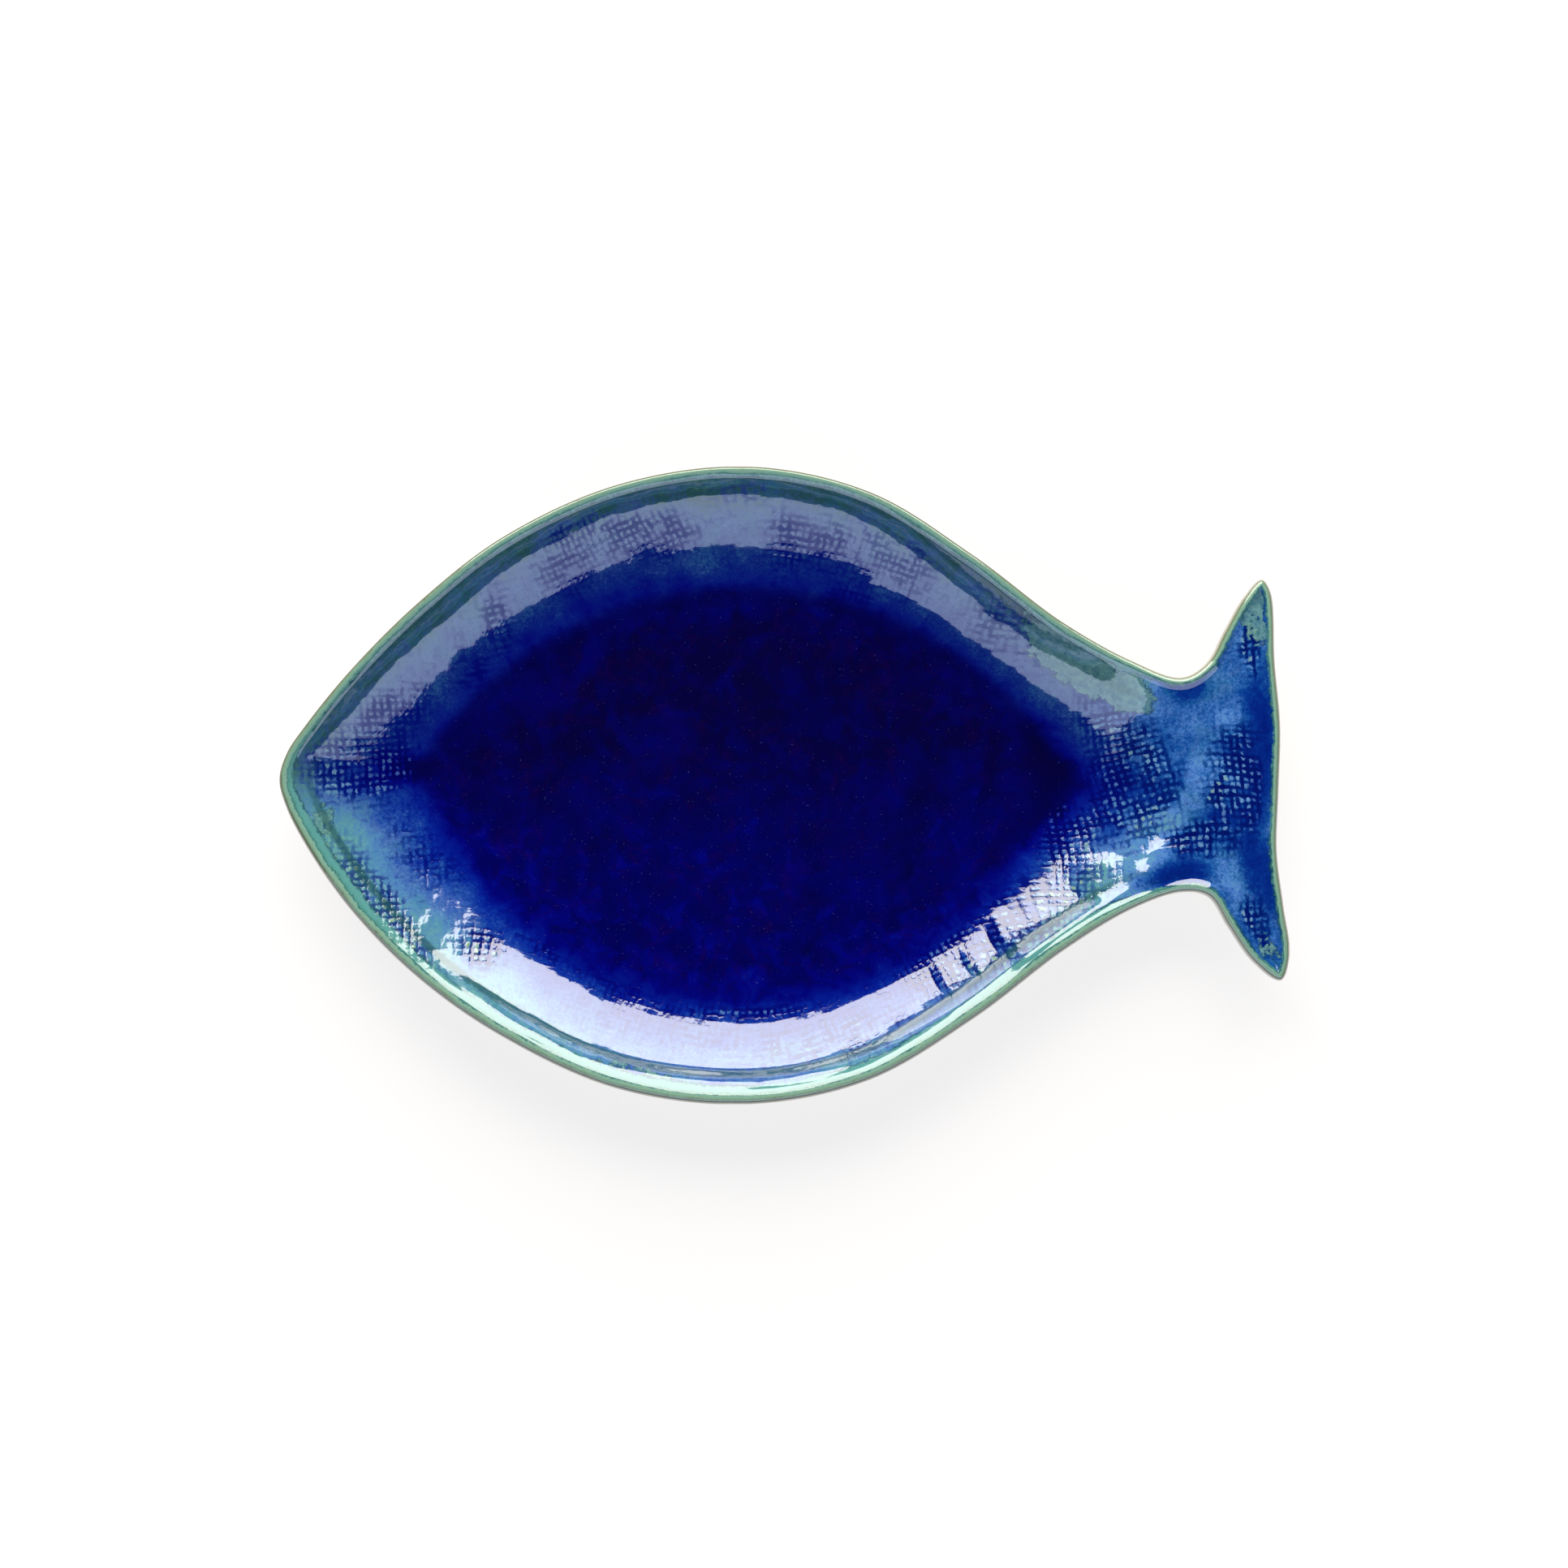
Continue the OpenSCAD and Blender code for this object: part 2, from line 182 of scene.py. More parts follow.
# Outline
def smooth_loop(points, steps):
    """A closed centripetal spline through the points, with the given number of steps in each span."""
    p1 = np.asarray(points, float)
    p0, p2, p3 = np.roll(p1, 1, 0), np.roll(p1, -1, 0), np.roll(p1, -2, 0)
    k0, k1, k2 = (np.sqrt(np.linalg.norm(b - a, axis=1))[:, None] for a, b in ((p0, p1), (p1, p2), (p2, p3)))
    m1 = p2 - p1 + k1 * ((p1 - p0) / k0 - (p2 - p0) / (k0 + k1))
    m2 = p2 - p1 + k1 * ((p3 - p2) / k2 - (p3 - p1) / (k1 + k2))
    t = (np.arange(steps) / steps)[:, None, None]
    spans = (p1 * (2 * t ** 3 - 3 * t ** 2 + 1) + m1 * (t ** 3 - 2 * t ** 2 + t)
             + p2 * (3 * t ** 2 - 2 * t ** 3) + m2 * (t ** 3 - t ** 2))
    return spans.transpose(1, 0, 2).reshape(-1, 2)


CONTROL = np.array(NOSE + BACK + TAIL_EDGE + BELLY[::-1]) * [LENGTH, WIDTH]
# Steps of the outline in each span between two of its points, how many to either side give its direction, and
# the span from which the lines across bend towards the end of the tail
SPAN_STEPS, TANGENT_STEPS, NECK_SPAN = 200, 12, 12
OUTLINE = np.clip(smooth_loop(CONTROL, SPAN_STEPS), [CAD_LOW.x, CAD_LOW.y], [CAD_HIGH.x, CAD_HIGH.y])
BACK_TIP = OUTLINE[len(BACK) * SPAN_STEPS]
BELLY_TIP = OUTLINE[(len(BACK) + len(TAIL_EDGE) + 1) * SPAN_STEPS]


def nearest_edge(xy):
    """Distance from each point to the outline."""
    tree = kdtree.KDTree(len(OUTLINE))
    for k, (x, y) in enumerate(OUTLINE):
        tree.insert((x, y, 0), k)
    tree.balance()
    return np.array([tree.find((x, y, 0))[2] for x, y in xy])


# Heights, the same rules as the solids
def arc_r(rise):
    return ((WELL_L / 2) ** 2 + rise ** 2) / (2 * rise)


BACK_R, BELLY_R = arc_r(WELL_BACK), arc_r(WELL_BELLY)
BACK_C = np.array([WELL_X, WELL_Y + WELL_BACK - BACK_R])
BELLY_C = np.array([WELL_X, WELL_Y - WELL_BELLY + BELLY_R])


def floor_gap(xy):
    """Distance outside the leaf-shaped floor, negative inside it."""
    return np.maximum(np.linalg.norm(xy - BACK_C, axis=-1) - BACK_R,
                      np.linalg.norm(xy - BELLY_C, axis=-1) - BELLY_R)


def tail_share(xy):
    return ease((xy[..., 0] - TAIL_START) / (TAIL_LEVEL - TAIL_START))


def wall_share(gap, out, tail):
    out = np.maximum(out, 0)
    return np.where(out > 0, out / np.maximum(out + np.maximum(gap, 0) * (1 - tail), 1e-9), 0)


def back_side(xy):
    """1 along the fish's back, 0 along its belly and on the tail."""
    return ease(xy[..., 1] / SIDE_W + 0.5) * (1 - tail_share(xy))


def lip_place(xy, gap):
    """Distance from the edge as the lip counts it: the hand-rolled lip is narrower along the back."""
    return gap + LIP_NARROW * back_side(xy) * np.minimum(gap / (LIP_CREST - LIP_NARROW), 1)


def face_z(xy, gap):
    tail = tail_share(xy)
    step = BACK_STEP * back_side(xy)
    place = lip_place(xy, gap)
    part = np.clip((place - LIP_CREST) / (LIP_FOOT - LIP_CREST), 0, 1)
    round_off = LIP_ROUND * (1 - np.sqrt(np.maximum(0, 1 - (1 - np.minimum(place / LIP_CREST, 1)) ** 2)))
    lip = RIM_H - round_off - LIP_FALL * lerp(part ** 2, ease(part), tail)
    share = wall_share(place - LIP_FOOT, floor_gap(xy), tail)
    wall = (FLOOR_H + (RIM_H - LIP_FALL - step - FLOOR_H) * share ** WALL_POWER
            + step * np.clip(1 - (place - LIP_FOOT) / BACK_STEP_W, 0, 1) ** 2
            - TAIL_DISH * tail * ease((place - LIP_FOOT) / TAIL_DIP_W))
    return np.where(place < LIP_FOOT, lip, wall)


def under_z(xy, gap):
    tail = tail_share(xy)
    top = EDGE_H - LIP_OVERLAP
    share = wall_share(gap, floor_gap(xy), tail)
    return FOOT_H + (top - FOOT_H) * share ** UNDER_POWER - TAIL_DROP * tail * ease(gap / TAIL_DROP_W)


# Where the cloth printed and where the glaze ran
# Patches as (x, y, half length, half width, turn in degrees, strength), in millimetres
CLOTH_PATCHES = [
    (-168, 8, 26, 15, 0, 1.0), (-157, 28, 22, 11, 35, 0.8), (-160, -47, 34, 8, -53, 0.9),
    (-144, -26, 20, 12, -50, 0.45), (-122, -64, 14, 9, -30, 0.75), (-114, 65, 8, 17, 10, 0.65),
    (-126, 46, 9, 13, 0, 0.5), (-84, 104, 14, 7, 20, 0.7), (-57, 100, 24, 11, 5, 0.85),
    (0, 97, 9, 13, 0, 0.85), (26, 72, 14, 10, -10, 0.5), (50, 84, 12, 12, 20, 0.5),
    (-16, 117, 14, 5, 0, 0.6), (96, 66, 26, 7, -32, 0.4), (139, 0, 19, 24, 0, 1.0),
    (130, 24, 18, 12, -20, 0.5), (112, -20, 16, 16, 0, 0.8), (85, -58, 58, 15, 30, 0.9),
    (20, -100, 34, 11, 12, 0.5), (-44, -96, 46, 12, -12, 0.35), (-14, -86, 32, 9, 2, 0.85),
    (-84, -66, 38, 10, -32, 0.7), (28, 95, 32, 13, -14, 0.6), (-88, 88, 16, 13, 30, 0.6),
    (88, 60, 20, 9, -34, 0.5), (179, 0, 13, 25, 0, 1.0), (164, -22, 14, 9, 0, 0.8),
    (186, 58, 7, 19, 8, 0.9), (187, -56, 8, 13, 15, 0.85)]
# How clearly the cloth printed where no patch is
CLOTH_FAINT = 0.1
# Where the glaze lies thin and turns light blue or turquoise, and where it ran dark
PALE_DRIFTS = [
    (-171, -24, 24, 12, -62, 0.5), (-150, -34, 40, 18, -46, 0.45), (-120, -70, 30, 10, -40, 0.4),
    (152, -14, 30, 8, 40, 0.75), (167, 4, 9, 12, 0, 0.6), (136, 40, 18, 9, -28, 0.9),
    (172, -34, 12, 10, -40, 0.4), (180, 26, 8, 8, 0, 0.3), (118, -42, 26, 8, 32, 0.6),
    (141, -30, 15, 8, 25, 0.9), (184, 62, 7, 20, 10, 0.6), (186, -50, 8, 16, 20, 0.4)]
DARK_RUNS = [
    (188, 18, 7, 34, 0, 0.8), (188, -36, 7, 22, 8, 0.8), (155, -36, 17, 6, 6, 0.8),
    (160, 38, 10, 6, 10, 0.6), (-162, 7, 26, 8, 0, 0.6), (100, 4, 18, 22, 0, 0.7),
    (132, 0, 20, 12, -16, 0.6), (178, -12, 12, 5, 0, 0.5), (-34, -117, 76, 8, -2, 0.8),
    (70, -88, 34, 7, 37, 0.6)]
# Where green glaze ran down from the lip
GREEN_RUNS = [
    (120, 45, 28, 8, -31, 1.0), (104, 60, 16, 5, -34, 0.7), (138, 36, 10, 8, -20, 1.0),
    (186, 68, 6, 14, 14, 0.8), (191, -64, 4, 10, 24, 0.6), (-183, -14, 5, 8, -10, 0.6),
    (-172, -40, 12, 3, -55, 0.5), (-60, -113, 30, 2.5, -14, 0.5)]
# Where the bead is higher along the neck, and finger marks on the wall there
NECK_BEAD = (98, -65, 44, 17, 29, 1.0)
NECK_BEAD_AT, NECK_BEAD_HALF_W, NECK_BEAD_H = 7.8 * MM, (2.8 * MM, 5.4 * MM), 1.5 * MM
FINGER_H = 1.6 * MM
FINGER_MARKS = [
    (146, -31, 16, 9, 12, 0.9), (126, -36, 10, 8, 25, 0.95), (89, -59, 6, 9, 30, 0.75),
    (66, -77, 5, 8, 38, 0.5), (76, -70, 4, 6, 35, 0.3)]


def patches(xy, table):
    """Soft sum of turned ellipses, from 0 to 1. Each fades out from 0.35 to 1.35 of its size."""
    total = np.zeros(len(xy))
    for x, y, half_l, half_w, turn, strength in table:
        c, s = math.cos(math.radians(turn)), math.sin(math.radians(turn))
        dx, dy = xy[:, 0] - x * MM, xy[:, 1] - y * MM
        r = np.hypot((dx * c + dy * s) / (half_l * MM), (dy * c - dx * s) / (half_w * MM))
        total = 1 - (1 - total) * (1 - strength * ease(1.35 - r))
    return total


def drape(xy):
    """The cloth was pulled outwards along either side's wall and lay straight at the nose and the neck."""
    side = np.where(xy[:, 1] > WELL_Y, 1, -1)
    along = np.clip((xy[:, 0] - DRAPE_MID) / DRAPE_REACH, -1, 1) * math.pi
    pull = DRAPE_THREADS * THREAD * (1 + np.cos(along)) / 2
    slope = DRAPE_THREADS * THREAD * math.pi / (2 * DRAPE_REACH) * np.sin(along)
    x = xy[:, 0] - side * slope * (xy[:, 1] - side * DRAPE_SIDE)
    return np.stack([x, xy[:, 1] - side * pull], 1)


def thread_place(xy):
    """Place in the cloth, counted in threads. The cloth was laid by hand, so it's a little out of true."""
    x, y = xy.T
    pull_x, pull_y = (sum(pull * noise(x, y, size, seed + k) for k, (pull, size) in enumerate(CLOTH_PULLS))
                      for seed in (1, 3))
    from_neck = np.hypot(xy[:, 0] - NECK_TURN_AT[0], xy[:, 1] - NECK_TURN_AT[1]) / NECK_TURN_REACH
    turn = CLOTH_TURN - NECK_TURN * (1 - np.clip(from_neck, 0, 1) ** 2) ** 2
    dx, dy = (drape(xy) - NECK_TURN_AT).T
    u = (dx * np.cos(turn) + dy * np.sin(turn) + pull_x) / THREAD
    v = (dy * np.cos(turn) - dx * np.sin(turn) + pull_y) / THREAD
    return np.stack([u, v], 1)


def cloth_strength(xy, gap):
    """How clearly the cloth printed: strong in patches, ragged at their edges, drowned where glaze pooled."""
    ragged = cloudy(*xy.T, PRINT_RAGGED, 20)
    strength = np.minimum(CLOTH_FAINT + patches(xy, CLOTH_PATCHES) * (0.85 + 0.5 * ragged), 1)
    return strength * ease((gap - PRINT_FROM) / PRINT_FADE) * ease(floor_gap(xy) / PRINT_FLOOR_FADE + 0.2)


def bumps(uv):
    """Raised squares of clay between the threads, from 0 in a groove to 1 on a square."""
    s = np.abs(uv - np.floor(uv) - 0.5) * 2
    side = 1 - ease((s - 0.45) / 0.5)
    return side[:, 0] * side[:, 1]


def swell(xy, gap):
    """Unevenness of the hand-pressed wall, the bead of glaze below the lip, and finger marks."""
    x, y = xy.T
    gap = lip_place(xy, gap)
    neck, back = patches(xy, [NECK_BEAD]), back_side(xy)
    grain_h = GRAIN_H + BACK_GRAIN_H * back * (1 - ease((gap - BACK_GRAIN_END) / WAVE_RISE))
    waves = (LONG_WAVE_H * noise(x, y, LONG_WAVE, 312)
             + (SHORT_WAVE_H + NECK_WAVE_H * neck) * noise(x, y, SHORT_WAVE, 313)
             + RIPPLE_H * cloudy(x, y, RIPPLE, 322, 2) + grain_h * cloudy(x, y, GRAIN, 332, 2))
    waves *= ease((gap - LIP_CREST) / WAVE_RISE) * (1 - 0.6 * ease(-floor_gap(xy) / FLOOR_CALM))
    bead = ease(BEAD_WHOLE + cloudy(x, y, BEAD_BREAK, 342, 2)) * (1 - back) * (1 - tail_share(xy))
    bead *= (1 - neck) * ease((x - BEAD_START) / BEAD_FADE) * ease((BEAD_END - x) / BEAD_FADE)
    bead *= BEAD_MEAN + BEAD_LUMP_H * noise(x, y, BEAD_LUMP, 344)
    # The bead lies a little nearer the lip towards the nose and the neck
    at = BEAD_AT - BEAD_SHIFT * ease((np.abs(x - DRAPE_MID) - BEAD_SHIFT_FROM) / BEAD_SHIFT_FROM)
    return (waves + BEAD_H * bead * round_bead(gap, at, BEAD_HALF_W)
            + NECK_BEAD_H * neck * round_bead(gap, NECK_BEAD_AT, NECK_BEAD_HALF_W)
            + FINGER_H * patches(xy, FINGER_MARKS))


def round_bead(gap, at, half_w):
    """Height of a bead from 0 to 1. Its half width is one value towards the lip and another inwards."""
    return np.clip(1 - ((gap - at) / np.where(gap < at, *half_w)) ** 2, 0, 1) ** 2


def glazed_z(xy, gap):
    """Height of the finished glaze, cloth print and unevenness included."""
    print_h = PRINT_H * (bumps(thread_place(xy)) - 0.5) * cloth_strength(xy, gap)
    return np.minimum(face_z(xy, gap) + swell(xy, gap) + print_h, RIM_H)


# Plan of the fish: rings round it and lines across it
def spread_spans(step):
    """Places along the spans, in spans, so that the cross lines lie about one step apart."""
    u = np.linspace(0, len(BACK), len(BACK) * SPAN_STEPS + 1)
    upper, lower = OUTLINE[:len(u)], OUTLINE[-np.arange(len(u)) % len(OUTLINE)]
    steps = [np.linalg.norm(np.diff(side, axis=0), axis=1) for side in (upper, lower)]
    run = np.concatenate([[0], np.cumsum(np.maximum(*steps))])
    n = int(run[-1] / step)
    return np.interp(np.linspace(0, run[-1], n + 1), run, u)


def along_outline(u):
    """Outline points and inward directions at the given places, in spans."""
    k = np.asarray(u) * SPAN_STEPS
    i = np.floor(k).astype(int)
    f = (k - i)[:, None]
    n = len(OUTLINE)
    here = lerp(OUTLINE[i % n], OUTLINE[(i + 1) % n], f)
    way = OUTLINE[(i + TANGENT_STEPS) % n] - OUTLINE[(i - TANGENT_STEPS) % n]
    way /= np.linalg.norm(way, axis=1)[:, None]
    return here, np.stack([way[:, 1], -way[:, 0]], 1)


class Plan:
    """Rings that follow the outline inwards, and the lines across the fish inside the last ring."""

    def __init__(self, step, ring_gaps):
        spans = spread_spans(step)
        self.along = len(spans) - 1
        wall, strip = int(WALL_LINES_W / step), int(MIDDLE_LINES_W / step)
        self.across = 2 * wall + strip
        share = np.arange(self.across + 1) / self.across
        east = len(BACK) + share * (len(TAIL_EDGE) + 1)
        total = len(CONTROL)
        u = np.concatenate([spans[:-1], east[:-1], total - spans[:0:-1]])
        self.around = len(u)
        here, inward = along_outline(u)
        near_tip = np.minimum(*(np.linalg.norm(here - tip, axis=1) for tip in (BACK_TIP, BELLY_TIP)))
        draw = np.clip(near_tip / TIP_REACH, TIP_SHARE, 1)
        # Near the tips of the tail the rings are drawn together
        self.gaps = np.stack([np.minimum(g, COAT) + np.maximum(g - COAT, 0) * draw for g in ring_gaps])
        self.rings = here[None] + inward[None] * self.gaps[..., None]
        inner = self.rings[-1]
        # Each line across the fish: wall, middle strip, wall. The strip fills the well where there is one
        i = np.arange(self.along + 1)
        upper, lower = inner[i], inner[-i % self.around]
        mid_x, mid_y = (upper[:, 0] + lower[:, 0]) / 2, (upper[:, 1] + lower[:, 1]) / 2
        plain = (upper[:, 1] - lower[:, 1]) / 2 * strip / self.across
        tail = tail_share(np.stack([mid_x, mid_y], 1))
        tip = lerp(np.minimum(plain, WELL_TIP), plain, tail)
        inside = (mid_x >= WELL_X - WELL_L / 2) & (mid_x <= WELL_X + WELL_L / 2)
        self.well_r = np.where(inside)[0][[0, -1]]
        before = np.clip(i / self.well_r[0], 0, 1)
        centre = lerp(lerp(mid_y, WELL_Y, before), mid_y, tail)
        off_mid = (mid_x - WELL_X) ** 2
        arc_top = BACK_C[1] + np.sqrt(np.maximum(0, BACK_R ** 2 - off_mid))
        arc_low = BELLY_C[1] - np.sqrt(np.maximum(0, BELLY_R ** 2 - off_mid))
        top = np.where(inside, np.maximum(arc_top - WELL_Y, WELL_TIP) + WELL_Y, centre + tip)
        low = np.where(inside, WELL_Y - np.maximum(WELL_Y - arc_low, WELL_TIP), centre - tip)
        height = np.maximum(upper[:, 1] - lower[:, 1], 1e-9)
        a, b = ((upper[:, 1] - top) / height)[:, None], ((upper[:, 1] - low) / height)[:, None]
        j = np.arange(self.across + 1)[None]
        middle, end = lerp(a, b, (j - wall) / strip), lerp(b, 1, (j - wall - strip) / wall)
        s = np.where(j <= wall, a * j / wall, np.where(j <= wall + strip, middle, end))
        # From the neck on, the lines bend towards the trailing edge of the tail
        weight = np.clip((spans[:, None] - NECK_SPAN) / (len(BACK) - NECK_SPAN), 0, 1) ** 2
        trailing = inner[self.along + np.arange(self.across + 1)]
        bulge = trailing[None] - lerp(inner[self.along], inner[self.along + self.across], s[..., None])
        self.lines = lerp(upper[:, None], lower[:, None], s[..., None]) + weight[..., None] * bulge

        # Quads between the lines. The line at the nose has shrunk to one point
        self.ids = np.arange(len(i) * j.size).reshape(len(i), -1)
        self.ids[0] = 0
        self.quads = self.ids.ravel()[grid_faces(*self.ids.shape)]
        self.well_c = wall, wall + strip
        in_rows = (i[:-1, None] >= self.well_r[0]) & (i[:-1, None] < self.well_r[1])
        self.in_well = (in_rows & (j[:, :-1] >= wall) & (j[:, :-1] < wall + strip)).ravel()


def grid_faces(rows, cols, closed=False):
    """Quads of a grid of points. They face up where its rows run inwards and its columns clockwise."""
    r = np.arange(rows - 1)[:, None]
    c = np.arange(cols if closed else cols - 1)[None]
    n = (c + 1) % cols
    return np.stack([r * cols + c, (r + 1) * cols + c, (r + 1) * cols + n, r * cols + n], -1).reshape(-1, 4)


# Meshes
def add_object(name, data):
    made = bpy.data.objects.new(name, data)
    bpy.context.scene.collection.objects.link(made)
    return made


def build_mesh(name, points, shown, hidden, fields, normals):
    """A closed piece: the sheet that shows, with smooth normals, and the flat faces that close it."""
    faces = [list(dict.fromkeys(f)) for f in [*shown, *hidden]]
    faces = [f for f in faces if len(f) > 2]
    smooth = sum(len(set(f)) > 2 for f in shown)
    at = np.concatenate(faces)
    used = np.unique(at)
    index = np.full(len(points), -1)
    index[used] = np.arange(len(used))
    mesh = bpy.data.meshes.new(name)
    mesh.from_pydata(points[used].tolist(), [], [index[f].tolist() for f in faces])
    for key, values in fields.items():
        values = values[used]
        if values.ndim == 2:
            layer = mesh.attributes.new(key, "FLOAT_VECTOR", "POINT")
            layer.data.foreach_set("vector", with_z(values, 0).ravel())
        else:
            mesh.attributes.new(key, "FLOAT", "POINT").data.foreach_set("value", values.astype(float))
    mesh.polygons.foreach_set("use_smooth", np.arange(len(faces)) < smooth)
    corners = sum(len(f) for f in faces[:smooth])
    own = np.where(np.arange(len(at))[:, None] < corners, normals[at], 0)
    mesh.normals_split_custom_set(own.tolist())
    return add_object(name, mesh)


def sheet_normals(points, faces):
    """Normals of a sheet of quads at its points, each face counting by its size."""
    a, b, c, d = (points[faces[:, k]] for k in range(4))
    across = np.cross(c - a, d - b)
    total = np.zeros_like(points)
    for k in range(4):
        np.add.at(total, faces[:, k], across)
    return total / np.maximum(np.linalg.norm(total, axis=1), 1e-12)[:, None]


def thinned(marks, step):
    """Grid lines that a coarse copy keeps: every few lines, and always the marked ones."""
    return np.concatenate([np.arange(a, b, step) for a, b in zip(marks, marks[1:])] + [marks[-1:]])


def surface_normals(xy):
    """Normals straight from the height rule, so that neighbouring pieces meet without a seam."""
    slopes = []
    for step in ([NORMAL_REACH, 0], [0, NORMAL_REACH]):
        a, b = xy + step, xy - step
        slopes.append((glazed_z(a, nearest_edge(a)) - glazed_z(b, nearest_edge(b))) / (2 * NORMAL_REACH))
    n = np.stack([-slopes[0], -slopes[1], np.ones(len(xy))], 1)
    return n / np.linalg.norm(n, axis=1)[:, None]


def glaze_fields(xy, gap):
    """What the glaze material reads: place in the cloth, the print's strength, distances, thinness."""
    place = lip_place(xy, gap)
    return {
        "thread": thread_place(xy),
        "cloth": cloth_strength(xy, gap),
        "edge_mm": place / MM,
        "past_band_mm": place / MM - band_end(xy),
        "floor_mm": floor_gap(xy) / MM,
        "thin": thinness(xy, place),
        "green_run": patches(xy, GREEN_RUNS),
        "back": back_side(xy),
        "tail": tail_share(xy),
    }


def band_end(xy):
    """How far in the lip's pale bands reach: widest along the belly, narrowest on the tail."""
    return lerp(lerp(BAND_BELLY, BAND_BACK, back_side(xy)), BAND_TAIL, tail_share(xy))


def thinness(xy, place):
    """How thin the glaze lies: below 0 where it pooled, about 1 at the foot of the lip."""
    x, y, out, tail = xy[:, 0], xy[:, 1], floor_gap(xy), tail_share(xy)
    wall = wall_share(place - LIP_FOOT, out, 0)
    thick = lerp(WELL_BACK_THICK, WELL_BELLY_THICK, ease(0.5 - y / THICK_SPREAD))
    pool = (np.exp(np.minimum(out, 0) / THICK_REACH) - 1) * thick
    blotches = BLOTCH_THIN * cloudy(x, y, BLOTCH, 70) + SPOT_THIN * cloudy(x, y, SPOT, 80)
    level = lerp(wall + pool, TAIL_THIN, tail) + blotches * ease(0.2 + out / BLOTCH_FADE)
    return level + PALE_THIN * patches(xy, PALE_DRIFTS) - DARK_THICK * patches(xy, DARK_RUNS)


def with_z(xy, z):
    return np.column_stack([xy, np.broadcast_to(z, len(xy))])


def make_coat(name, plan, is_pool):
    """The blue coat on the wall and the tail, or the glass pooled in the well, on a coarser underside."""
    xy, ids = plan.lines.reshape(-1, 2), plan.ids
    gap = nearest_edge(xy)
    z = glazed_z(xy, gap)
    count = len(xy)
    under = z - FACE_COAT - POOL_EXTRA * ease(-floor_gap(xy) / POOL_SLOPE_W)
    points = np.concatenate([with_z(xy, z), with_z(xy, under)])
    shown = plan.quads[plan.in_well == is_pool][:, ::-1]

    (first, last), (left, right) = plan.well_r, plan.well_c
    r = thinned([0, first, last, plan.along], UNDER_STEPS)
    c = thinned([0, left, right, plan.across], UNDER_STEPS)
    hidden = [[ids[i, j] + count, ids[i2, j] + count, ids[i2, j2] + count, ids[i, j2] + count]
              for i, i2 in zip(r, r[1:]) for j, j2 in zip(c, c[1:])
              if (first <= i < last and left <= j < right) == is_pool]
    # Rims of the coat, each as a list of runs of its fine points, with the coat on their left
    floor_r, floor_c = r[(r >= first) & (r <= last)], c[(c >= left) & (c <= right)]
    hole = (rim_runs(ids[:, left], floor_r) + rim_runs(ids[last], floor_c)
            + rim_runs(ids[:, right], floor_r[::-1]) + rim_runs(ids[first], floor_c[::-1]))
    outer = rim_runs(ids[:, -1], r) + rim_runs(ids[-1], c[::-1]) + rim_runs(ids[:, 0], r[::-1])
    runs = [run[::-1] for run in hole] if is_pool else outer + hole
    hidden += [[*run[::-1], run[0] + count, run[-1] + count] for run in runs]
    fields = {k: np.concatenate([v, v]) for k, v in glaze_fields(xy, gap).items()}
    normals = surface_normals(xy)
    return build_mesh(name, points, shown, hidden, fields, np.concatenate([normals, normals]))


def rim_runs(line, marks):
    """Fine points of a line of the grid, in runs from each mark to the next."""
    way = 1 if marks[-1] > marks[0] else -1
    return [line[np.arange(a, b + way, way)].tolist() for a, b in zip(marks, marks[1:])]


def make_lip(plan):
    """The pale coat that rolls over the lip."""
    rings, gaps = plan.rings, plan.gaps
    count, last = plan.around, len(rings) - 1
    xy, gap = rings.reshape(-1, 2), gaps.reshape(-1)
    z = glazed_z(xy, gap)
    crest, coat = (int(np.argmin(np.abs(np.array(LIP_RINGS) * MM - at))) for at in (LIP_CREST, COAT))
    low, top = with_z(rings[0], EDGE_H), with_z(xy, z)
    under = [top[last * count:] - [0, 0, FACE_COAT],
             top[crest * count:(crest + 1) * count] - [0, 0, LIP_COAT],
             with_z(rings[coat], EDGE_H)]
    points = np.concatenate([low, top, *under])
    rows = len(points) // count
    faces = grid_faces(rows + 1, count, closed=True) % len(points)
    shown, hidden = faces[:(last + 1) * count], faces[(last + 1) * count:]
    normals = sheet_normals(points, shown)
    flat = np.concatenate([np.zeros(count), gap, np.zeros(3 * count)]) > LIP_CREST
    exact = np.pad(surface_normals(xy), ((count, 3 * count), (0, 0)))
    normals = np.where(flat[:, None], exact, normals)
    ring = np.arange(count)
    at = np.concatenate([ring, np.arange(len(xy)), *(k * count + ring for k in (last, crest, coat))])
    fields = {k: v[at] for k, v in glaze_fields(xy, gap).items()}
    return build_mesh("green_lip", points, shown, hidden, fields, normals)


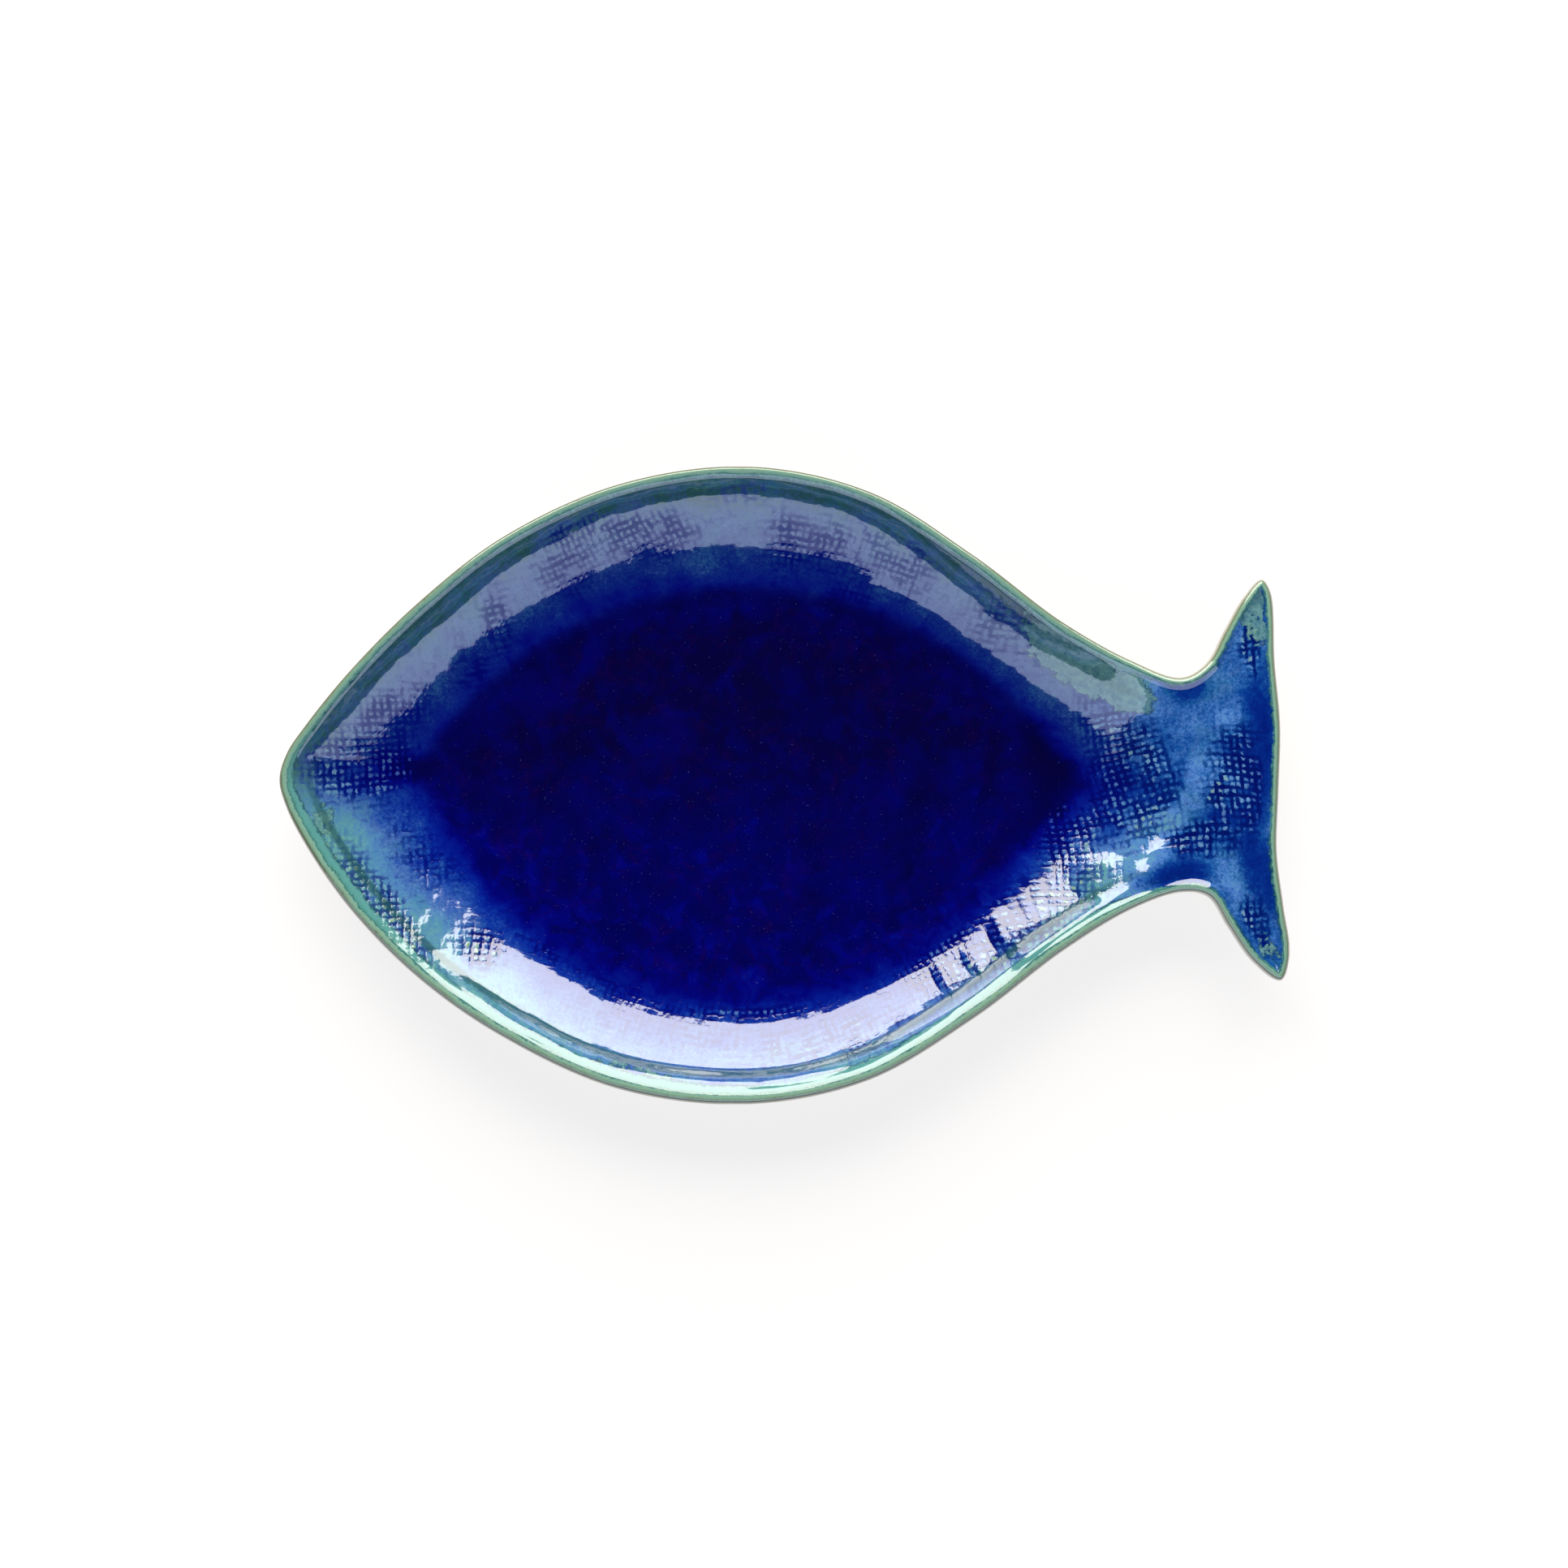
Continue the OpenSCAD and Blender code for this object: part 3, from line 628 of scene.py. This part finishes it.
def make_outside(plan):
    """The cream coat on the outer wall and under the tail."""
    xy = np.concatenate([plan.rings.reshape(-1, 2), plan.lines.reshape(-1, 2)])
    gap = np.concatenate([plan.gaps.reshape(-1), nearest_edge(plan.lines.reshape(-1, 2))])
    inner_z = under_z(xy, gap)
    around, size = plan.around, len(xy)
    offset = len(plan.rings) * around
    ids = plan.ids + offset
    rows, cols = ids.shape
    ring_faces = grid_faces(len(plan.rings), around, closed=True)
    wall_faces = plan.quads[~plan.in_well] + offset
    # The lines start where the last ring lies, so both use the ring's points there
    join = np.arange(2 * size + 2 * around)
    last_ring = offset - around
    join[ids[:, 0]] = last_ring + np.arange(rows)
    join[ids[-1]] = last_ring + plan.along + np.arange(cols)
    join[ids[1:, -1]] = last_ring + (-np.arange(1, rows)) % around
    join[ids[0]] = last_ring
    join[size:2 * size] = join[:size] + size

    edge_top, coat_top = 2 * size, 2 * size + around
    points = np.concatenate([with_z(xy, inner_z - COAT), with_z(xy, inner_z),
                             with_z(plan.rings[0], EDGE_H), with_z(plan.rings[2], EDGE_H)])
    c = np.arange(around)
    n = (c + 1) % around
    side = np.stack([edge_top + c, edge_top + n, n, c], 1)
    shown = join[np.concatenate([ring_faces[:, ::-1], wall_faces, side])]
    back_of = size + 2 * around
    cap = np.stack([edge_top + n, edge_top + c, coat_top + c, coat_top + n], 1)
    inner_side = np.stack([coat_top + n, coat_top + c, back_of + c, back_of + n], 1)
    (first, last), (left, right) = plan.well_r, plan.well_c
    rim = np.concatenate([ids[first:last, left], ids[last, left:right], ids[last:first:-1, right],
                          ids[first, right:left:-1]])
    rim_side = np.stack([rim, np.roll(rim, -1), np.roll(rim, -1) + size, rim + size], 1)
    hidden = join[np.concatenate([cap, inner_side, ring_faces[2 * around:] + size, wall_faces[:, ::-1] + size,
                                  rim_side])]
    fields = {"edge_mm": np.concatenate([gap, gap, np.zeros(2 * around)]) / MM}
    return build_mesh("cream_outside", points, shown, hidden, fields, sheet_normals(points, shown))


# Material building
class Nodes:
    """Short names for the node calls of one material."""

    def __init__(self, name):
        self.material = bpy.data.materials.new(name)
        self.material.use_nodes = True
        self.tree = self.material.node_tree
        self.tree.nodes.clear()
        self.out = self.tree.nodes.new("ShaderNodeOutputMaterial")

    def node(self, kind, **settings):
        made = self.tree.nodes.new("ShaderNode" + kind)
        for key, value in settings.items():
            setattr(made, key, value)
        return made

    def link(self, source, target):
        self.tree.links.new(source, target)

    def feed(self, socket, value):
        if isinstance(value, bpy.types.NodeSocket):
            self.link(value, socket)
        elif value is not None:
            socket.default_value = value

    def math(self, op, a, b=None, c=None, clamp=False):
        made = self.node("Math", operation=op, use_clamp=clamp)
        for socket, value in zip(made.inputs, (a, b, c)):
            self.feed(socket, value)
        return made.outputs[0]

    def times(self, product, *others):
        for other in others:
            product = self.math("MULTIPLY", product, other)
        return product

    def grow(self, start, value, factor):
        """The start plus the value times the factor."""
        return self.math("MULTIPLY_ADD", value, factor, start)

    def rest(self, value):
        """What the value leaves of 1."""
        return self.math("SUBTRACT", 1.0, value)

    def near(self, value, at, inner, outer, most=1.0):
        """Most while the value is within the inner distance of a place, 0 beyond the outer one."""
        away = self.math("ABSOLUTE", self.math("SUBTRACT", value, at))
        return self.smooth(away, inner, outer, most, 0.0)

    def attribute(self, name, vector=False):
        made = self.node("Attribute", attribute_name=name)
        return made.outputs["Vector" if vector else "Fac"]

    def smooth(self, value, low, high, out_low=0.0, out_high=1.0):
        made = self.node("MapRange", interpolation_type="SMOOTHSTEP")
        for socket, v in zip(made.inputs, (value, low, high, out_low, out_high)):
            self.feed(socket, v)
        return made.outputs[0]

    def noise(self, size, detail=3.0, rough=0.55, vector=None, warp=0.0, color=False):
        """Noise whose bumps are about the given size, in metres."""
        made = self.node("TexNoise")
        self.link(vector or self.node("TexCoord").outputs["Object"], made.inputs["Vector"])
        made.inputs["Scale"].default_value = 1 / size
        made.inputs["Detail"].default_value = detail
        made.inputs["Roughness"].default_value = rough
        made.inputs["Distortion"].default_value = warp
        return made.outputs["Color" if color else "Fac"]

    def swing(self, size, detail, rough, warp=0.0):
        """Noise about 0 instead of about a half."""
        return self.math("SUBTRACT", self.noise(size, detail, rough, warp=warp), 0.5)

    def shifted(self, vector, reach, size):
        """The vector pushed about by noise, at most half the reach either way."""
        centred, push, moved = (self.node("VectorMath", operation=op) for op in ("SUBTRACT", "SCALE", "ADD"))
        self.link(self.noise(size, 2, color=True), centred.inputs[0])
        centred.inputs[1].default_value = (0.5, 0.5, 0.5)
        self.link(centred.outputs[0], push.inputs[0])
        push.inputs["Scale"].default_value = reach
        self.link(vector, moved.inputs[0])
        self.link(push.outputs[0], moved.inputs[1])
        return moved.outputs[0]

    def mix(self, factor, a, b):
        made = self.node("Mix", data_type="RGBA", clamp_factor=True)
        self.feed(made.inputs["Factor"], factor)
        for key, value in (("A", a), ("B", b)):
            socket = [s for s in made.inputs if s.name == key and s.type == "RGBA"][0]
            self.feed(socket, (*value, 1) if isinstance(value, tuple) else value)
        return [s for s in made.outputs if s.type == "RGBA"][0]

    def scale(self, value, colors):
        """The colour of a value, from a table of values with their colours from 0 to 255."""
        low, high = colors[0][0], colors[-1][0]
        made = self.node("ValToRGB")
        made.color_ramp.interpolation = "LINEAR"
        elements = made.color_ramp.elements
        while len(elements) < len(colors):
            elements.new(0.5)
        for element, (at, *color) in zip(elements, colors):
            element.position = (at - low) / (high - low)
            element.color = (*srgb(*color), 1)
        share = self.math("DIVIDE", self.math("SUBTRACT", value, low), high - low, clamp=True)
        self.link(share, made.inputs[0])
        return made.outputs[0]

    def bump(self, height, distance, after=None):
        made = self.node("Bump")
        made.inputs["Strength"].default_value = 1.0
        made.inputs["Distance"].default_value = distance
        self.feed(made.inputs["Height"], height)
        if after is not None:
            self.link(after, made.inputs["Normal"])
        return made.outputs[0]

    def shader(self, color, constants):
        """The principled shader with this colour and these constants on its sockets, joined to the output."""
        made = self.node("BsdfPrincipled")
        self.link(color, made.inputs["Base Color"])
        for key, value in constants.items():
            made.inputs[key].default_value = value
        self.link(made.outputs[0], self.out.inputs[0])
        return made


def srgb(r, g, b):
    """A colour as a picture shows it, from 0 to 255, turned into what a shader wants."""
    shares = (r / 255, g / 255, b / 255)
    return tuple(c / 12.92 if c <= 0.04045 else ((c + 0.055) / 1.055) ** 2.4 for c in shares)


# Colours of the glaze, each row with how thin it lies: on the back's wall, the belly's wall and the tail
BACK_COLORS = [
    (-0.25, 5, 1, 66), (-0.13, 2, 1, 94), (-0.03, 2, 3, 122), (0.05, 4, 16, 136), (0.15, 10, 34, 142),
    (0.28, 18, 52, 144), (0.42, 34, 74, 154), (0.55, 56, 92, 160), (0.68, 74, 112, 168),
    (0.8, 78, 122, 156), (0.9, 60, 110, 116), (1.0, 56, 110, 102), (1.12, 84, 138, 118),
    (1.25, 118, 160, 106)]
BELLY_COLORS = [
    (-0.25, 1, 1, 84), (-0.13, 1, 1, 102), (-0.03, 2, 4, 140), (0.1, 4, 32, 162), (0.2, 12, 52, 172),
    (0.32, 24, 70, 178), (0.47, 50, 98, 194), (0.61, 78, 122, 198), (0.75, 92, 152, 208),
    (0.86, 100, 164, 194), (1.0, 110, 180, 184), (1.12, 142, 200, 170), (1.25, 172, 208, 136)]
TAIL_COLORS = [
    (-0.25, 2, 12, 100), (0.0, 2, 30, 132), (0.15, 4, 48, 150), (0.3, 12, 70, 164), (0.42, 30, 98, 180),
    (0.52, 58, 120, 200), (0.62, 94, 148, 230), (0.75, 108, 172, 220), (0.88, 116, 184, 188),
    (1.0, 134, 190, 150), (1.25, 160, 198, 120)]
# Bands of the lip, each row with the distance from the edge in millimetres
LIP_COLORS = [
    (0.0, 196, 188, 160), (0.75, 182, 178, 146), (1.1, 122, 120, 90), (1.4, 130, 148, 114),
    (2.0, 156, 194, 158), (3.2, 160, 206, 180), (3.7, 124, 184, 168), (3.95, 50, 108, 106),
    (4.3, 94, 170, 160), (5.5, 108, 182, 178), (8.0, 102, 176, 176)]
# Clouds in the pool: size in millimetres, detail, roughness and warp of their noise, between which two of its
# values they set in, how far they cover, and their colour
POOL_CLOUDS = [
    (13, 6, 0.72, 1.4, (0.48, 0.72), 0.42, (32, 0, 74)), (30, 4, 0.6, 0.5, (0.5, 0.68), 0.5, (1, 2, 122)),
    (34, 3, 0.6, 0.0, (0.52, 0.72), 0.5, (2, 1, 44))]
# How far the printed threads waver, in threads, and over what length
THREAD_WAVERS = [(0.8, 3.2 * MM), (0.55, 1.1 * MM)]
# Distance from the edge at which dark glaze was caught along the belly, in millimetres
CAUGHT_AT = 11.8
GLASS = {"Roughness": 0.07, "IOR": 1.7, "Coat Roughness": 0.015, "Coat IOR": 1.7}
WAVES_H, RELIEF_H, COAT_RELIEF_H, PITS_H = 0.022 * MM, 0.055 * MM, 0.032 * MM, 0.008 * MM


def cloth_print(m, cloth):
    """The print of the threads: how deep its grooves are, and how bright the squares between them."""
    thread = m.attribute("thread", vector=True)
    for reach, size in THREAD_WAVERS:
        thread = m.shifted(thread, reach, size)
    uv, cells, sides = m.node("SeparateXYZ"), m.node("CombineXYZ"), []
    m.link(thread, uv.inputs[0])
    for axis in (0, 1):
        along, other = uv.outputs[axis], uv.outputs[1 - axis]
        line = m.math("FLOOR", m.math("ADD", along, 0.5))
        away = m.times(m.math("ABSOLUTE", m.math("SUBTRACT", along, line)), 2)
        # Each stretch between two other threads printed by itself, and each thread more or less on its way
        stretch, run = m.node("CombineXYZ"), m.node("CombineXYZ")
        m.link(m.math("ADD", line, 0.5 + 40 * axis), stretch.inputs[axis])
        m.link(m.math("FLOOR", other), stretch.inputs[1 - axis])
        chance = m.node("TexWhiteNoise", noise_dimensions="2D")
        m.link(stretch.outputs[0], chance.inputs["Vector"])
        m.link(m.times(line, 3.7), run.inputs[axis])
        m.link(m.times(other, 0.22), run.inputs[1 - axis])
        deep = m.smooth(m.noise(1.0, 2, 0.6, vector=run.outputs[0]), 0.34, 0.56, 0.35, 1.0)
        printed = m.smooth(m.grow(m.times(chance.outputs["Value"], 0.9), cloth, 1.3), 0.5, 1.25)
        half_w = m.grow(0.26, m.times(printed, deep), 0.3)
        groove = m.smooth(m.math("SUBTRACT", away, half_w), -0.3, 0.26, 1.0, 0.0)
        sides.append(m.rest(m.times(groove, printed, deep)))
        m.link(m.math("FLOOR", along), cells.inputs[axis])
    square = m.times(*sides)
    odd = m.node("TexWhiteNoise", noise_dimensions="2D")
    m.link(cells.outputs[0], odd.inputs["Vector"])
    lit = m.grow(0.2, odd.outputs["Value"], 0.8)
    in_strip = m.smooth(m.attribute("back"), 0.78, 1.0, 1.0, 0.3)
    return m.rest(square), m.times(lit, m.smooth(cloth, 0.25, 0.8), square, in_strip)


def glaze_material(name):
    """Reactive glaze: its colour follows how thickly it lies, from cobalt pools to pale green on the lip."""
    m = Nodes(name)
    edge, floor_d, past_band, thin, green, back, tail, cloth = (m.attribute(key) for key in (
        "edge_mm", "floor_mm", "past_band_mm", "thin", "green_run", "back", "tail", "cloth"))
    cloth = m.times(cloth, m.smooth(m.noise(8 * MM, 4, 0.6), 0.34, 0.5, 0.5, 1.0))
    dark, bright = cloth_print(m, cloth)
    groove = m.times(dark, m.smooth(cloth, 0.1, 0.9, 0.3, 1.0))

    # How thin the glaze lies, with clouds and fine crystals. On the print's squares it's thinner
    level = m.grow(thin, m.swing(9 * MM, 5, 0.62, 0.5), 0.5)
    level = m.grow(level, m.swing(1.2 * MM, 5, 0.8), m.smooth(level, -0.02, 0.3, 0.0, 0.9))
    drowned = m.times(cloth, m.smooth(m.noise(12 * MM, 3, 0.55), 0.46, 0.6))
    level = m.math("SUBTRACT", level, m.times(drowned, m.smooth(level, 0.0, 0.5, 0.0, 0.24)))
    level = m.math("SUBTRACT", level, m.times(groove, m.smooth(level, -0.05, 0.5, 0.05, 0.28)))
    level = m.grow(level, m.math("SUBTRACT", bright, 0.15), m.smooth(cloth, 0.2, 0.7, 0.0, 0.34))
    on_back, on_belly, on_tail = (
        m.scale(level, colors) for colors in (BACK_COLORS, BELLY_COLORS, TAIL_COLORS))
    body = m.mix(tail, m.mix(back, on_belly, on_back), on_tail)

    # Hues that drift apart where the glaze is thin, and a milky haze of crystals
    thin_here = m.smooth(level, 0.22, 0.55)
    teal = m.smooth(m.noise(16 * MM, 4, 0.6, warp=0.6), 0.48, 0.66)
    body = m.mix(m.times(teal, thin_here, 0.25), body, srgb(52, 140, 160))
    haze = m.smooth(m.noise(6 * MM, 6, 0.78, warp=0.8), 0.47, 0.7)
    body = m.mix(m.times(haze, thin_here, 0.33), body, srgb(112, 140, 210))

    # Grooves of the print hold dark glaze, and some of its squares are pale or yellowish
    ink = m.mix(m.smooth(thin, 0.6, 1.0), srgb(2, 10, 98), srgb(8, 44, 96))
    ink = m.mix(m.times(back, m.smooth(thin, 0.15, 0.4)), ink, srgb(2, 26, 128))
    body = m.mix(m.times(groove, m.smooth(thin, -0.1, 0.5, 0.3, 0.72)), body, ink)
    pale = m.times(m.smooth(bright, 0.35, 0.9), m.smooth(thin, -0.05, 0.4, 0.22, 0.55))
    body = m.mix(pale, body, srgb(138, 186, 228))
    yellow = m.times(m.smooth(bright, 0.5, 0.8), m.smooth(m.noise(18 * MM, 2, 0.5), 0.45, 0.55))
    body = m.mix(m.times(yellow, m.smooth(thin, 0.3, 0.75, 0.0, 0.65)), body, srgb(168, 198, 124))

    # Green glaze that ran down from the lip, with sharp ragged shores
    jag = m.swing(2.2 * MM, 5, 0.8)
    ragged = m.times(m.swing(7 * MM, 6, 0.7, 0.4), m.smooth(green, 0.0, 0.3))
    run = m.grow(m.grow(green, ragged, 2.4), groove, -0.5)
    two_tone = m.smooth(m.noise(2.4 * MM, 5, 0.75), 0.36, 0.62)
    green_tone = m.mix(two_tone, srgb(84, 142, 146), srgb(136, 186, 172))
    body = m.mix(m.times(m.smooth(run, 0.4, 0.46), 0.8), body, green_tone)
    run_shore = m.times(m.near(run, 0.4, 0.0, 0.1, 0.7), m.smooth(green, 0.05, 0.2))
    body = m.mix(run_shore, body, srgb(14, 62, 92))

    # Dark glaze caught on the inner side of the belly's bead
    caught = m.near(m.grow(edge, jag, 3.0), CAUGHT_AT, 0.6, 2.2)
    on_belly_side = m.rest(m.math("MAXIMUM", back, tail))
    body = m.mix(m.times(caught, on_belly_side, 0.75), body, srgb(40, 92, 98))

    # The pool: clouds, a darker seam along the back's crease where the wall meets the floor, partly glaze
    # pooled there and partly painted shade, and tiny specks
    deep_in = m.smooth(floor_d, -12, 2, 1.0, 0.0)
    for size, detail, rough, warp, sets_in, cover, color in POOL_CLOUDS:
        cloud = m.smooth(m.noise(size * MM, detail, rough, warp=warp), *sets_in)
        body = m.mix(m.times(cloud, deep_in, cover), body, srgb(*color))
    # Painted shade: the crease at the floor's edge is darkened on the back's side only, mixed with glaze
    # pooled there
    seam = m.times(m.smooth(floor_d, -8, -2), m.smooth(floor_d, -1, 5, 1.0, 0.0))
    body = m.mix(m.times(seam, back, 0.5), body, srgb(2, 2, 58))
    specks = m.smooth(m.noise(0.9 * MM, 2, 0.5), 0.7, 0.76)
    body = m.mix(m.times(specks, 0.45), body, srgb(84, 90, 170))

    # Bands along the lip, from the bare-looking outer edge inwards, narrower round the tail
    sway = m.times(m.swing(11 * MM, 6, 0.66), 2.6)
    place = m.grow(m.times(edge, m.grow(1.0, tail, 0.45)), sway, m.smooth(edge, 0.6, 2.4))
    band = m.scale(m.grow(place, jag, m.smooth(edge, 1.0, 2.4, 0.4, 3.0)), LIP_COLORS)
    grain = m.smooth(m.noise(1.3 * MM, 4, 0.7), 0.3, 0.75)
    band = m.mix(m.times(grain, 0.22), band, srgb(104, 142, 124))
    band = m.mix(m.times(back, m.smooth(edge, 0.7, 1.4, 0.92, 0.0)), band, srgb(80, 94, 74))
    band = m.mix(m.times(back, m.smooth(edge, 1.8, 3.0, 0.0, 0.35)), band, srgb(134, 182, 170))
    inside = m.math("ADD", past_band, m.grow(m.times(sway, 0.8), jag, 4.0))
    color = m.mix(m.smooth(inside, -0.3, 0.5), band, body)
    shore = m.times(m.near(inside, 0.2, 0.1, 0.7), m.smooth(m.noise(14 * MM, 3, 0.6), 0.4, 0.6, 0.2, 0.75))
    color = m.mix(shore, color, srgb(22, 74, 96))

    # Along the back the lip's outer edge is almost bare and the grooves are dull, so they shine less
    shader = m.shader(color, GLASS)
    dull = m.math("MAXIMUM", m.smooth(edge, 0.9, 1.6, 0.9, 0.0), m.times(groove, 0.65))
    glossy = m.rest(m.times(back, dull))
    m.link(glossy, shader.inputs["Coat Weight"])
    m.link(m.times(glossy, 0.5), shader.inputs["Specular IOR Level"])
    waves = m.bump(m.noise(4 * MM, 2, 0.4), WAVES_H)
    raised = m.times(groove, m.grow(-1.0, back, 0.88))
    relief = m.bump(raised, RELIEF_H, after=waves)
    m.link(m.bump(m.noise(0.7 * MM, 2, 0.5), PITS_H, after=relief), shader.inputs["Normal"])
    m.link(m.bump(raised, COAT_RELIEF_H, after=waves), shader.inputs["Coat Normal"])
    return m.material


def clay_material(name, color, rough, grain_h):
    """Fired clay or a satin coat: fine grain, mottle and iron specks."""
    m = Nodes(name)
    base = m.mix(m.smooth(m.noise(18 * MM, 5, 0.6), 0.35, 0.7), color, tuple(c * 0.82 for c in color))
    iron = m.smooth(m.noise(1.3 * MM, 3, 0.6), 0.62, 0.7)
    shader = m.shader(m.mix(m.times(iron, 0.6), base, srgb(104, 78, 54)), {"Roughness": rough})
    fine = m.bump(m.noise(0.8 * MM, 4, 0.6), grain_h)
    m.link(m.bump(m.noise(9 * MM, 3, 0.5), grain_h * 3, after=fine), shader.inputs["Normal"])
    return m.material


# Pieces
plan = Plan(FACE_STEP, [g * MM for g in LIP_RINGS])
coarse = Plan(OUTSIDE_STEP, [g * MM for g in OUTSIDE_RINGS])

glaze = glaze_material("reactive_glaze")
cream = clay_material("cream_coat", srgb(222, 214, 198), 0.34, 0.02 * MM)
clay = clay_material("bare_clay", srgb(196, 172, 140), 0.85, 0.06 * MM)


def dress(piece, material, node):
    piece.data.materials.append(material)
    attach(piece, "root")
    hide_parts(node)


dress(make_coat("blue_face", plan, False), glaze, "face_glaze")
dress(make_coat("cobalt_pool", plan, True), glaze, "well_pool")
dress(make_lip(plan), glaze, "lip_glaze")
dress(make_outside(coarse), cream, "outside_glaze")
for node in ("stoneware_body", "foot_ring"):
    for slot in frame["nodes"][node].material_slots:
        slot.material = clay


# Stage, lights and camera
PANEL_AWAY = 1.7
FILL = 0.005
FLOOR_W, FLOOR_GLOW = 12, 0.78


def upright_panel(name, side, turn, reach, low, high, radiance, color):
    """A soft panel that stands upright on the back side (1) or the belly side (-1) of the platter.

    The platter sees it from its low to its high angle, in degrees from straight up, and by its reach to
    either side of its turn.
    """
    turn, reach, low, high = (math.radians(angle) for angle in (turn, reach, low, high))
    top, bottom = PANEL_AWAY / math.tan(high), PANEL_AWAY / math.tan(low)
    place = Vector((math.sin(turn) * PANEL_AWAY, side * math.cos(turn) * PANEL_AWAY, (top + bottom) / 2))
    data = bpy.data.lights.new(name, "AREA")
    data.shape = "RECTANGLE"
    data.size, data.size_y = 2 * PANEL_AWAY * math.tan(reach), top - bottom
    data.energy = radiance * math.pi * data.size * data.size_y
    data.color = color
    lamp = add_object(name, data)
    lamp.location = place
    lamp.rotation_euler = Vector((-place.x, -place.y, 0)).to_track_quat("-Z", "Z").to_euler()


upright_panel("window_back", side=1, turn=-2.2, reach=37.8, low=80.5, high=32.5, radiance=4.6,
              color=(1.0, 0.98, 0.92))
upright_panel("wall_front", side=-1, turn=0, reach=62, low=71, high=33, radiance=1.5,
              color=(0.66, 0.77, 1.0))

world = bpy.data.worlds.new("studio")
bpy.context.scene.world = world
world.use_nodes = True
for socket, value in zip(world.node_tree.nodes["Background"].inputs, ((1, 1, 1, 1), FILL)):
    socket.default_value = value


def floor_material():
    """Pale paper that takes the platter's shadow, and glows where the camera or a reflection sees it."""
    m = Nodes("paper_floor")
    paper = m.node("BsdfDiffuse")
    paper.inputs[0].default_value = (0.36, 0.345, 0.335, 1)
    glow = m.node("Emission")
    rays = m.node("LightPath")
    seen = m.math("MAXIMUM", rays.outputs["Is Camera Ray"], rays.outputs["Is Glossy Ray"])
    glow.inputs["Color"].default_value = (1.0, 0.985, 0.965, 1)
    m.link(m.times(seen, FLOOR_GLOW), glow.inputs["Strength"])
    both = m.node("AddShader")
    m.link(paper.outputs[0], both.inputs[0])
    m.link(glow.outputs[0], both.inputs[1])
    m.link(both.outputs[0], m.out.inputs[0])
    return m.material


bpy.ops.mesh.primitive_plane_add(size=FLOOR_W)
floor = bpy.context.object
floor.name = "paper_floor"
floor.data.materials.append(floor_material())

# The camera looks almost straight down, from a little on the belly side. The picture's width and the fish's
# length in it are in pixels, the lens and the sensor in millimetres
PHOTO_W, PHOTO_FISH = 1932, 1246
LENS, SENSOR, TILT = 85.0, 36.0, math.radians(2.5)
distance = LENGTH * PHOTO_W / PHOTO_FISH * LENS / SENSOR
camera_data = bpy.data.cameras.new("camera")
camera_data.lens, camera_data.sensor_width = LENS, SENSOR
camera = add_object("camera", camera_data)
camera.location = (0, -distance * math.sin(TILT), RIM_H + distance * math.cos(TILT))
camera.rotation_euler = (TILT, 0, 0)
bpy.context.scene.camera = camera
bpy.context.scene.view_settings.view_transform = "Standard"
